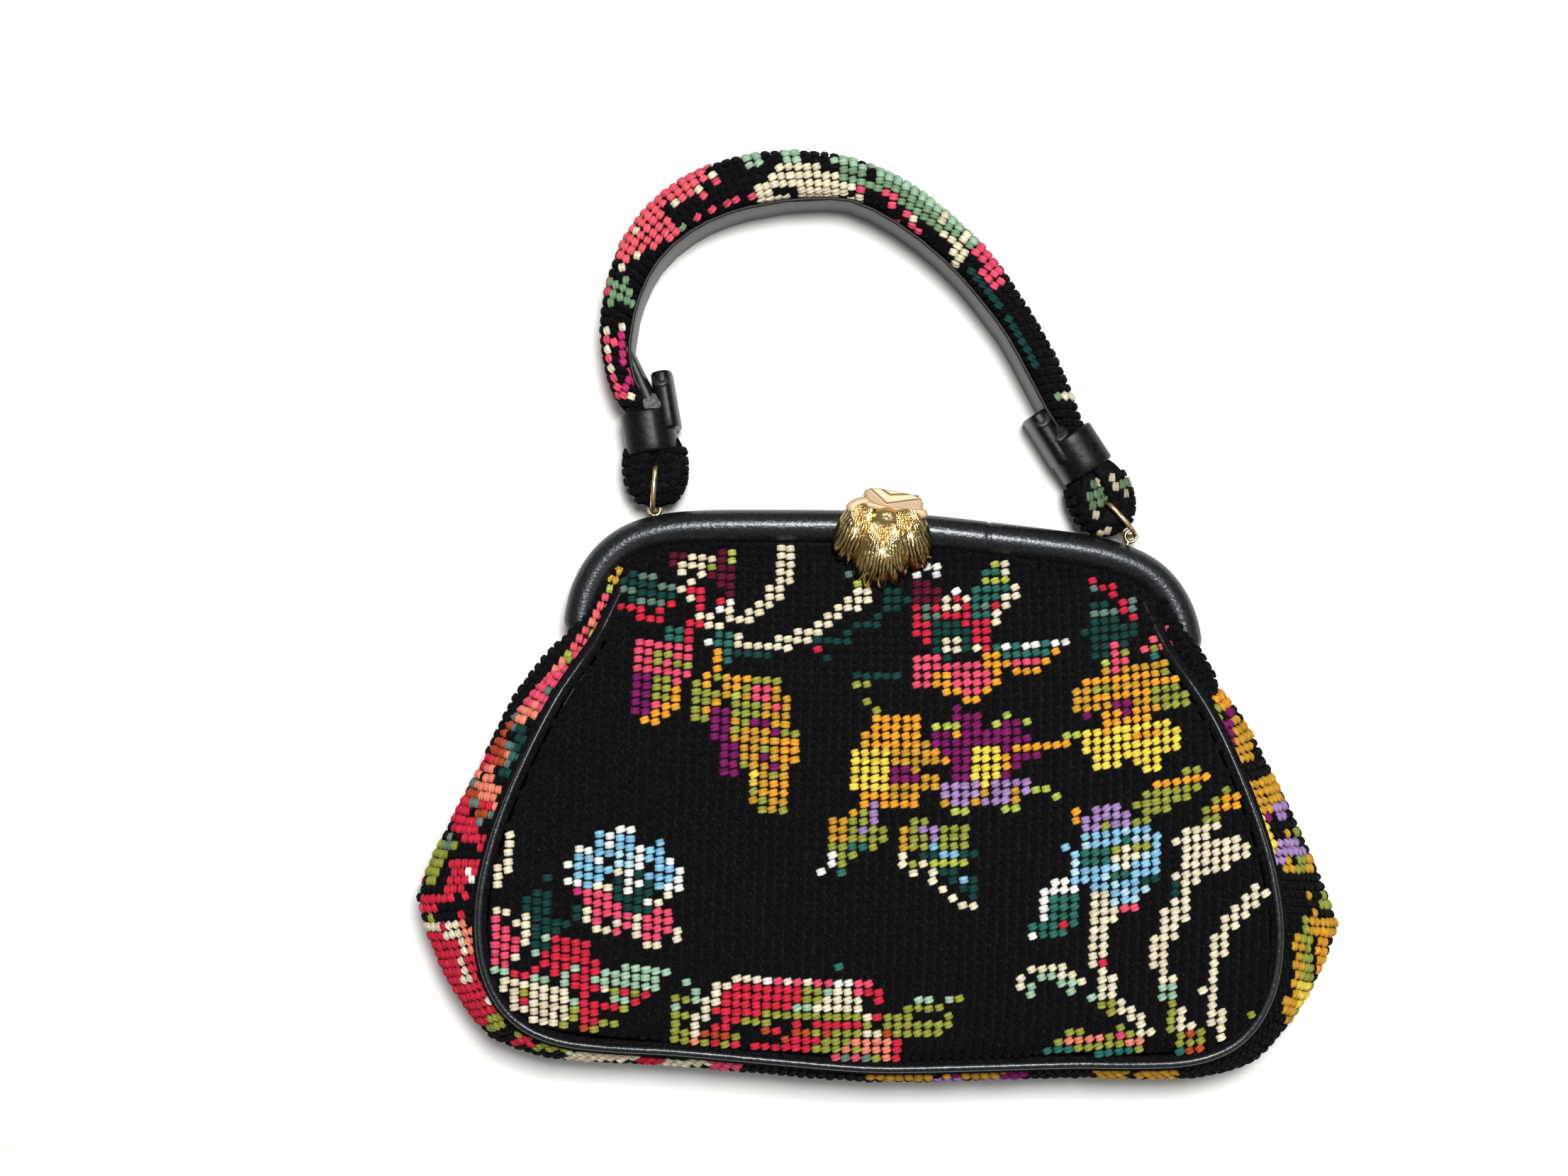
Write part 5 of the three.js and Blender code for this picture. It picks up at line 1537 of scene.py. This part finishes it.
for side, form in FOLDS.items():
    core_form = dict(form, **{key: form[key] - inset for key, inset in CORE_INSET.items()})
    core = fold_rings(core_form, round_places(FOLD_SIDES))
    core_mesh = grid_mesh(f"fold_core_{side}", core[:, ::-1])
    fold_core = new_object(f"fold_core_{side}", core_mesh, canvas, "bag")
    fold = swept_lattice(list(fold_rings(form, FOLD_LOOKS[::-1])), len(FOLD_LOOKS) // 2, margin=0.3)
    needlepoint(f"fold_{side}", fold, HANDLE_CHART)

# Leather covered frame, piping and lining

FRAME_RADIUS = 5.2
FRAME_SIDES = 32
# The leather's joint on the frame's top
SEAM_X = 31.5
SEAM_ABOVE_Y = 60.0
SEAM_DEPTH = 0.35
SEAM_WIDTH = 0.5
# The piping is thinner towards the frame, and sinks in just below it
PIPING_BEARINGS = np.radians(np.linspace(90, 450, 1081))
PIPING_LEVELS = 0.35
PIPING_SEAT = 1.75
PIPING_RADIUS = 1.3
PIPING_SIDES = 14
PIPING_TOP_SHARE = 0.5
PIPING_THINS = dict(start=-24.0, run=40.0)
PIPING_SINKS = dict(start=40.0, run=10.0, depth=2.4)
# A tape of canvas closes the seam below it
TAPE_DROP = 2.0
TAPE_RADIUS = 2.4


def rounded_ends(line, radius):
    """Radii along a tube that close its ends softly."""
    along = lengths_along(line)
    from_end = np.minimum(along, along[-1] - along)
    drop = np.clip(1 - from_end / radius, 0, 0.98)
    return radius * np.sqrt(1 - drop**2)


for node in ("frame_front", "frame_back"):
    line = frame_line(node)
    radii = rounded_ends(line, FRAME_RADIUS)
    joint = np.exp(-(((line[:, 0] - SEAM_X) / SEAM_WIDTH) ** 2)) * (line[:, 1] > SEAM_ABOVE_Y)
    radii = radii - SEAM_DEPTH * joint
    mesh = grid_mesh(f"{node}_leather", tube_grid(line, radii, FRAME_SIDES))
    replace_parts(new_object(f"{node}_leather", mesh, leather, "bag"), node)


def piping_line(node):
    """The middle line of a seam's piping, found from outside."""
    low, high = node_box(node)
    tree = node_tree(node)
    line = []
    for bearing in PIPING_BEARINGS:
        aim = heading(bearing)
        hits = [
            cast(tree, (*(GUSSET_MIDDLE + aim[:2] * RAY_OUTSIDE), level), -aim)
            for level in np.arange(low[2] + 0.2, high[2], PIPING_LEVELS)
        ]
        hits = [h[0] for h in hits if h is not None]
        hits = [h for h in hits if (h[:2] - GUSSET_MIDDLE) @ aim[:2] > 0]
        if hits:
            level = (hits[0][2] + hits[-1][2]) / 2
            reach = max((h[:2] - GUSSET_MIDDLE) @ aim[:2] for h in hits) - PIPING_SEAT
            line.append(np.array([*(GUSSET_MIDDLE + aim[:2] * reach), level]))
    return smoothed(evenly(smoothed(np.array(line), 5), 0.9), 3)


for node in ("front_piping", "back_piping"):
    line = piping_line(node)
    upper = np.clip((line[:, 1] - PIPING_THINS["start"]) / PIPING_THINS["run"], 0, 1)
    sunk = np.clip((line[:, 1] - PIPING_SINKS["start"]) / PIPING_SINKS["run"], 0, 1)
    line = line - np.outer(sunk, UP * PIPING_SINKS["depth"])
    radii = rounded_ends(line, PIPING_RADIUS) * (1 - (1 - PIPING_TOP_SHARE) * upper)
    mesh = grid_mesh(f"{node}_welt", tube_grid(line, radii, PIPING_SIDES))
    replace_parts(new_object(f"{node}_welt", mesh, leather, "bag"), node)
    if node == "front_piping":
        radii = rounded_ends(line, TAPE_RADIUS)
        tape = tube_grid(line - UP * TAPE_DROP, radii, PIPING_SIDES)
        mesh = grid_mesh("front_seam_tape", tape)
        new_object("front_seam_tape", mesh, canvas, "bag")

lining_mesh = welded_copy("handle_lining_leather", "handle_lining", push=0.05, bevel=0.5)
lining_piece = new_object("handle_lining_leather", lining_mesh, lining, "bag")
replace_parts(lining_piece, "handle_lining")

# Keepers: a leather sleeve round the strap, a rolled end beside it and the cut end of the padding

KEEPERS = {
    "left": dict(x=-76.6, y=112.4, slope=101.0, inward=1, pull=0.0, parts=("sleeve", "roll", "tongue")),
    "right": dict(x=59.5, y=110.0, slope=124.8, inward=-1, pull=1.6, parts=("sleeve", "roll")),
}
# One row per part: ends along the strap, middle across it and its drift to the far end, half width and
# the share of it that is left at the far end, half height, middle height, squareness and finish
KEEPER_PARTS = {
    "sleeve": dict(
        low=-7.0, high=6.4, across=0.2, drift=0.0, width=8.4, thin=1.0,
        height=12.3, level=12.6, power=0.78, finish=keeper_leather,
    ),
    "roll": dict(
        low=-0.6, high=17.6, across=6.9, drift=0.0, width=3.6, thin=0.94,
        height=11.4, level=12.2, power=0.6, finish=keeper_leather,
    ),
    "tongue": dict(
        low=3.0, high=36.0, across=3.4, drift=-8.2, width=3.2, thin=0.3,
        height=10.6, level=12.2, power=0.6, finish=lining,
    ),
}
KEEPER_SIDES = 64
# The rounding at both ends: its length along the strap, its steps and how far it draws in
ROUND_LENGTH = 0.8
ROUND_STEPS = np.array([0.0, 0.25, 0.6, 1.0])
ROUND_DRAW = 0.9
BODY_STEPS = np.linspace(0.2, 0.8, 9)


def keeper_axes(keeper):
    """Directions along the strap and inwards across it."""
    along = heading(math.radians(keeper["slope"]))
    return along, np.array([along[1], -along[0], 0.0]) * keeper["inward"]


def keeper_rings(keeper, part):
    """Rings of points round one part of a keeper, with softened ends."""
    along, side = keeper_axes(keeper)
    looks = round_places(KEEPER_SIDES) * keeper["inward"]
    span = part["high"] - part["low"]
    body = part["low"] + ROUND_LENGTH + BODY_STEPS * (span - 2 * ROUND_LENGTH)
    start = part["low"] + ROUND_STEPS * ROUND_LENGTH
    end = part["high"] - ROUND_STEPS[::-1] * ROUND_LENGTH
    places = np.concatenate([start, body, end])
    ends = np.concatenate([ROUND_STEPS, np.ones(len(body)), ROUND_STEPS[::-1]])
    draw = (ROUND_DRAW * (1 - np.sqrt(1 - (1 - ends) ** 2)))[:, None]
    across = squared(np.cos(looks), part["power"])
    rise = squared(np.sin(looks), part["power"])
    far = ((places - part["low"]) / span)[:, None]
    width = part["width"] * (1 - (1 - part["thin"]) * far) - draw
    height = part["height"] - draw
    middle = np.array([keeper["x"], keeper["y"], part["level"]])
    offset = part["across"] + part["drift"] * far + width * across
    ring = offset[..., None] * side + (height * rise)[..., None] * UP
    return middle + places[:, None, None] * along + ring


# The slanted cut ends of the padding and of the roll: place along and across the strap, height, radius
# and thickness
CUT_ENDS = {
    "padding": dict(along=8.2, across=2.9, level=22.6, radius=3.1, thick=1.4),
    "roll": dict(along=14.9, across=6.7, level=22.6, radius=2.9, thick=1.4),
}
CUT_RINGS = (
    (0.03, 0.5), (0.55, 0.5), (0.88, 0.42), (1.0, 0.1), (0.96, -0.3), (0.55, -0.5), (0.03, -0.5),
)
CUT_SIDES = 36
CUT_LEAN = 2.4
CUT_FINISH = {
    "left": {"padding": cut_edge, "roll": lining},
    "right": {"padding": lining, "roll": lining},
}


def cut_end_rings(keeper, end):
    """A thin round pad that leans back from the strap's direction."""
    along, side = keeper_axes(keeper)
    face = unit(along + UP * CUT_LEAN)
    back = np.cross(face, side)
    looks = round_places(CUT_SIDES)
    middle = np.array([keeper["x"], keeper["y"], end["level"]])
    middle = middle + along * end["along"] + side * end["across"]
    turn = np.cos(looks)[:, None] * side + np.sin(looks)[:, None] * back
    rings = [middle + turn * end["radius"] * r + face * end["thick"] * h for r, h in CUT_RINGS]
    return np.array(rings)


for side, keeper in KEEPERS.items():
    for part_name in keeper["parts"]:
        part = dict(KEEPER_PARTS[part_name])
        part["across"] -= keeper["pull"] * (part_name == "roll")
        rings = keeper_rings(keeper, part)
        name = f"keeper_{side}_{part_name}"
        mesh = grid_mesh(name, rings[:, ::-1])
        piece = new_object(name, mesh, part["finish"], "bag")
        if part_name == "sleeve":
            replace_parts(piece, f"keeper_{side}")
    for end_name, end in CUT_ENDS.items():
        name = f"keeper_{side}_cut_{end_name}"
        end = dict(end, across=end["across"] - keeper["pull"] * (end_name == "roll"))
        mesh = grid_mesh(name, cut_end_rings(keeper, end))
        new_object(name, mesh, CUT_FINISH[side][end_name], "bag")

# Brass rings, eyelets and the hidden hinges

BRASS_SWELL = 0.08

for node in ("ring_left", "ring_right", "eyelet_left", "eyelet_right"):
    mesh = welded_copy(f"{node}_brass", node, BRASS_SWELL)
    piece = new_object(f"{node}_brass", mesh, brass, "bag")
    soften = piece.modifiers.new("soften", "SUBSURF")
    soften.levels = 2
    soften.render_levels = 2
    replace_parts(piece, node)
for node in ("hinge_left", "hinge_right", "clasp_hinge"):
    NODES[node].data.materials.clear()
    NODES[node].data.materials.append(brass)

# Clasp: three domed lobes with fine veins and a knob, below a satin plate with rounded shoulders, on a
# bridge that reaches the hinge

CLASP_LEVEL = 26.0
GOLD_LIGHT = np.array([0.92, 0.69, 0.31])
GOLD_DARK = np.array([0.07, 0.038, 0.012])
GOLD_SATIN = np.array([0.64, 0.47, 0.30])
LOBE_MESH = dict(rings=46, spokes=280)
KNOB_MESH = dict(rings=16, spokes=48)
LOBE_SKIRT = 1.3
# The dome's roundness, and how much flatter it is towards the root
DOME_POWERS = (2.4, 0.85)
ROOT_LIFT = 0.3
# Veins run out from a place behind the root and wander; barbs cross them; the crown and rim stay calm
VEIN_DEPTH = 0.5
VEIN_FOCUS = 0.5
VEIN_LEVEL = 0.6
VEIN_WANDER = ((0.55, 9, 5), (0.35, 21, -8))
BARB_DEPTH = 0.2
BARB_ROWS = 9
BARB_SLANT = 0.7
CROWN_CALM = 0.2
RIM_CALM = 0.3
TIP_FURROW = 2.4
TIP_BLEND = 8
# One row per lobe: root and tip in the photo, half width and its growth to the tip, rim height at root
# and tip, rise, veins, and the tips along the free end: how many, their spacing and shift in degrees,
# and the depth between them
LOBES = {
    "left": dict(
        root=(1224, 703), tip=(1188, 794), width=5.9, flare=0.1, rim=(23.0, 22.6), rise=5.0, veins=11,
        tips=2, pitch=30, shift=0, notch=0.09,
    ),
    "right": dict(
        root=(1270, 707), tip=(1298, 806), width=6.7, flare=0.1, rim=(23.0, 22.6), rise=5.2, veins=12,
        tips=2, pitch=34, shift=6, notch=0.10,
    ),
    "middle": dict(
        root=(1248, 722), tip=(1239, 834), width=8.6, flare=0.5, rim=(22.8, 22.4), rise=6.4, veins=17,
        tips=3, pitch=29, shift=8, notch=0.17,
    ),
    "knob": dict(
        root=(1250, 714), tip=(1250, 746), width=4.5, flare=0.0, rim=(26.4, 25.6), rise=2.6, veins=0,
        tips=1, pitch=60, shift=0, notch=0.0,
    ),
}
PLATE_OUTLINE = (
    (1218, 698), (1221, 690), (1231, 688), (1243, 689), (1286, 697), (1300, 703), (1303, 709),
    (1302, 721), (1285, 719), (1263, 717), (1250, 715), (1237, 712), (1225, 706),
)
PLATE_GROOVES = (
    ((1228, 689), (1251, 710), (1299, 704)),
    ((1244, 690), (1256, 698), (1283, 697)),
)
PLATE_FRONT = 28.4
PLATE_BACK = 24.6
GROOVE_DEPTH = 0.32
GROOVE_WIDTH = 0.20
FACET_REACH = 3.5
FACET_SLOPE = 0.4
PLATE_STEP = 0.16
PLATE_EDGE = dict(start=0.88, drop=0.9)
PLATE_RINGS = (*np.linspace(0.02, 0.90, 44), 0.94, 0.97, 0.99, 1.0)
SHOULDERS = {
    "left": dict(line=((1194, 722), (1206, 711), (1219, 707), (1231, 709)), level=25.2, radius=1.7),
    "middle": dict(
        line=((1219, 709), (1233, 714), (1250, 716), (1266, 717), (1283, 718)), level=26.2, radius=1.0
    ),
    "right": dict(line=((1278, 718), (1292, 719), (1301, 723), (1308, 731)), level=25.2, radius=1.5),
}


def gold_tone(share, light=GOLD_LIGHT):
    """Antique gold, dark where share is 0."""
    return GOLD_DARK + (light - GOLD_DARK) * np.clip(share, 0, 1)[..., None]


def lobe_grid(form):
    """One cast lobe as rings of points from its middle to its rim and back below, and its tone."""
    veined = form["veins"] > 0
    root, tip = (np.array(to_plan(*form[k], CLASP_LEVEL)) for k in ("root", "tip"))
    half = np.linalg.norm(tip - root) / 2
    ahead = unit(tip - root)
    side = np.array([-ahead[1], ahead[0]])
    size = LOBE_MESH if veined else KNOB_MESH
    rings = np.sin(np.linspace(0.02, np.pi / 2, size["rings"]))
    rings = np.concatenate([rings, [0.97, 0.02]])[:, None]
    turn = round_places(size["spokes"], -np.pi)[None, :]

    # The outline, notched between the tips of its free end
    degrees = np.degrees(turn) - form["shift"]
    scallop = np.abs(np.cos(np.pi * (degrees / form["pitch"] + (form["tips"] - 1) / 2)))
    tips_half = form["tips"] * form["pitch"] / 2
    near_tip = np.clip((tips_half - np.abs(degrees)) / TIP_BLEND + 0.5, 0, 1)
    reach = rings * (1 - form["notch"] * (1 - scallop) * near_tip * rings**3)
    along = half * (1 + reach * np.cos(turn))
    u = along / (2 * half)
    across = form["width"] * reach * np.sin(turn) * (1 + form["flare"] * (u - 0.5))
    plan = root + along[..., None] * ahead + across[..., None] * side

    # The dome, its veins and barbs, and the furrows between the tips
    lifted = rings * (1 - ROOT_LIFT * np.clip(-np.cos(turn), 0, 1) * veined)
    dome = (1 - lifted ** DOME_POWERS[0]) ** DOME_POWERS[1]
    spread = np.arctan2(form["width"], half * (1 + VEIN_FOCUS))
    bearing = np.arctan2(across, along + half * VEIN_FOCUS) / spread
    wander = sum(depth * np.sin(a * u + b * bearing) for depth, a, b in VEIN_WANDER)
    vein = np.abs(np.cos(np.pi * form["veins"] / 2 * bearing + wander)) ** 0.8
    slant = BARB_SLANT * form["veins"] * np.abs(bearing)
    barb = np.abs(np.cos(np.pi * (BARB_ROWS * u + slant))) * veined
    crown = np.exp(-((rings / CROWN_CALM) ** 2))
    relief = (VEIN_DEPTH * (vein - VEIN_LEVEL) + BARB_DEPTH * barb * vein) * (0.4 + 0.6 * dome)
    relief = relief * (1 - crown) * np.clip((1 - rings) / RIM_CALM, 0, 1)
    furrow = (form["notch"] > 0) * (1 - scallop) ** 2 * near_tip * rings**3
    rim = form["rim"][0] + (form["rim"][1] - form["rim"][0]) * u
    height = rim + form["rise"] * dome + relief - TIP_FURROW * furrow
    height[-2:] = (rim - LOBE_SKIRT)[-2:]

    # Dark in the grooves, bright on the crown, dull at the rim
    share = 0.03 + 0.97 * vein**1.6 * (0.5 + 0.5 * barb) if veined else np.ones_like(height)
    share = np.maximum(share, crown)
    share = np.maximum(share, 0.75 * np.clip((rings - 0.55) / 0.25, 0, 1))
    share = share * (0.45 + 0.55 * np.clip((1 - rings) / 0.25, 0, 1)) * (1 - 0.7 * furrow)
    return np.concatenate([plan, height[..., None]], -1), gold_tone(share)


def facet_depth(plan):
    """How far places of the plate lie in front of the chevron cut into it."""
    low_left, low, low_right = (np.array(to_plan(*p, PLATE_FRONT)) for p in PLATE_GROOVES[0])
    behind = np.full(plan.shape[:-1], np.inf)
    for a, b in ((low_left, low), (low, low_right)):
        arm = unit(b - a)
        behind = np.minimum(behind, (plan - a) @ np.array([-arm[1], arm[0]]))
    return np.clip(-behind, 0, FACET_REACH)


def flat_line(places, level, step):
    """Photo places as a line at one height."""
    return evenly(np.array([(*to_plan(*p, level), level) for p in places]), step)


for lobe_name, form in LOBES.items():
    name = f"clasp_lobe_{lobe_name}"
    grid, tones = lobe_grid(form)
    mesh = grid_mesh(name, grid[::-1], tint=tones[::-1])
    new_object(name, mesh, gold, "clasp")

# The shell that carries the lobes: middle, half sizes and heights, then rings of reach and height shares
SHELL = dict(x=-1.8, y=79.0, across=10.5, up=9.5, low=21.6, high=24.6)
SHELL_SIDES = 64
SHELL_RINGS = np.array([[0.03, 0], [1.0, 0], [1.0, 0.2], [0.85, 0.8], [0.5, 1.0], [0.03, 1.0]])
SHELL_TONE = 0.10


def shell_grid():
    """A low round shell as rings of points."""
    around = round_places(SHELL_SIDES)
    reach, level = SHELL_RINGS[:, :1], SHELL_RINGS[:, 1:]
    x = SHELL["x"] + reach * SHELL["across"] * np.cos(around)
    y = SHELL["y"] + reach * SHELL["up"] * np.sin(around)
    z = SHELL["low"] + level * (SHELL["high"] - SHELL["low"]) + 0 * around
    return np.stack([x, y, z], -1)


shell = shell_grid()
tones = gold_tone(np.full(shell.shape[:2], SHELL_TONE))
mesh = grid_mesh("clasp_shell", shell, tint=tones)
new_object("clasp_shell", mesh, gold, "clasp")


def groove_share(plan):
    """How deep in the plate's cut lines places lie, from 0 to 1."""
    share = np.zeros(plan.shape[:-1])
    for groove in PLATE_GROOVES:
        line = [np.array(to_plan(*p, PLATE_FRONT)) for p in groove]
        flat = plan.reshape(-1, 2)
        away = np.full(len(flat), np.inf)
        for a, b in zip(line, line[1:]):
            away = np.minimum(away, away_from(a, b, flat))
        share = np.maximum(share, np.exp(-((away / GROOVE_WIDTH) ** 2)).reshape(share.shape))
    return share


def plate_grid():
    """The plate as rings of points from its middle to its edge and back below, and its tone."""
    rim = flat_line((*PLATE_OUTLINE, PLATE_OUTLINE[0]), PLATE_FRONT, PLATE_STEP)
    rim = smoothed(rim[:-1], 3, closed=True)
    heart = rim.mean(axis=0)
    reach = np.array(PLATE_RINGS)
    plate = heart + (rim - heart)[None] * reach[:, None, None]
    edge = np.clip((reach - PLATE_EDGE["start"]) / (1 - PLATE_EDGE["start"]), 0, 1)
    plate[..., 2] = PLATE_FRONT - (PLATE_EDGE["drop"] * edge**2)[:, None]
    groove = groove_share(plate[..., :2])
    plate[..., 2] -= GROOVE_DEPTH * groove + FACET_SLOPE * facet_depth(plate[..., :2])
    base = np.stack([plate[-1], heart + (rim - heart) * reach[0]])
    base[..., 2] = PLATE_BACK
    shares = np.concatenate([1 - 0.9 * groove, np.full((2, len(rim)), 0.4)])
    return np.concatenate([plate, base]), gold_tone(shares, GOLD_SATIN)


plate, tones = plate_grid()
mesh = grid_mesh("clasp_plate", plate[::-1], tint=tones[::-1])
new_object("clasp_plate", mesh, satin_gold, "clasp")

SHOULDER_STEP = 0.5
SHOULDER_SIDES = 20

for side, form in SHOULDERS.items():
    line = smoothed(flat_line(form["line"], form["level"], SHOULDER_STEP), 3)
    grid = tube_grid(line, rounded_ends(line, form["radius"]), SHOULDER_SIDES)
    tones = gold_tone(np.ones(grid.shape[:2]), GOLD_SATIN)
    mesh = grid_mesh(f"clasp_shoulder_{side}", grid, tint=tones)
    new_object(f"clasp_shoulder_{side}", mesh, satin_gold, "clasp")

# The bridge behind the plate keeps its plain cast form
BRIDGE_NEAR = 88.8
BRIDGE_TOP = 25.6
BRIDGE_TONE = 0.7
BRIDGE_CUTS = (((0, BRIDGE_NEAR * MM, 0), (0, 1, 0)), ((0, 0, BRIDGE_TOP * MM), (0, 0, -1)))
work = bmesh.new()
work.from_mesh(NODES["clasp"].data)
bmesh.ops.remove_doubles(work, verts=work.verts, dist=WELD * MM)
for place, keep in BRIDGE_CUTS:
    parts = work.verts[:] + work.edges[:] + work.faces[:]
    bmesh.ops.bisect_plane(work, geom=parts, plane_co=place, plane_no=keep, clear_inner=True)
    bmesh.ops.holes_fill(work, edges=[e for e in work.edges if e.is_boundary])
mesh = bpy.data.meshes.new("clasp_bridge")
work.to_mesh(mesh)
work.free()
mesh.materials.clear()
layer = mesh.color_attributes.new("tint", "FLOAT_COLOR", "POINT")
tones = np.tile([*GOLD_LIGHT * BRIDGE_TONE, 1.0], len(mesh.vertices))
layer.data.foreach_set("color", tones.astype(np.float32))
bridge = new_object("clasp_bridge", mesh, gold, "clasp")
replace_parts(bridge, "clasp")

# Floor, light and camera

# The floor's and lights' sizes and places are in metres
FLOOR_HALF = 1.6
FLOOR_DROP = 0.0005
floor_mesh = bpy.data.meshes.new("floor")
floor_corners = [(-1, -1), (1, -1), (1, 1), (-1, 1)]
floor_points = [(x * FLOOR_HALF, y * FLOOR_HALF, 0.0) for x, y in floor_corners]
floor_mesh.from_pydata(floor_points, [], [(0, 1, 2, 3)])
floor_mesh.materials.append(floor_finish)
floor = bpy.data.objects.new("floor", floor_mesh)
floor.location.z = -FLOOR_DROP
bpy.context.scene.collection.objects.link(floor)


def soft_light(name, place, aim, size, power, colour):
    """A square soft box that faces a point."""
    data = bpy.data.lights.new(name, "AREA")
    data.shape = "SQUARE"
    data.size = size
    data.energy = power
    data.color = colour
    lamp = bpy.data.objects.new(name, data)
    lamp.location = place
    lamp.rotation_euler = (Vector(aim) - Vector(place)).to_track_quat("-Z", "Y").to_euler()
    bpy.context.scene.collection.objects.link(lamp)


# A small key light above the handle and a weak large one from the lower right
soft_light("key_light", (0.05, 0.30, 1.08), (-0.03, 0.03, 0.0), 0.24, 14.6, (1.0, 0.99, 0.97))
soft_light("fill_light", (0.75, -0.55, 1.2), (0, 0, 0), 0.8, 1.6, (0.96, 0.98, 1.0))
world = bpy.data.worlds.new("studio")
bpy.context.scene.world = world
world.use_nodes = True
backdrop = world.node_tree.nodes["Background"]
backdrop.inputs["Color"].default_value = (1.0, 1.0, 0.97, 1)
backdrop.inputs["Strength"].default_value = 0.20

camera_data = bpy.data.cameras.new("camera")
camera_data.sensor_width = SENSOR_WIDTH
camera_data.lens = SENSOR_WIDTH * FOCAL_PX / PHOTO_WIDTH
camera = bpy.data.objects.new("camera", camera_data)
camera.location = Vector(CAMERA * MM)
camera.rotation_euler = (0, 0, CAMERA_TURN)
bpy.context.scene.collection.objects.link(camera)
bpy.context.scene.camera = camera
bpy.context.scene.view_settings.view_transform = "Standard"
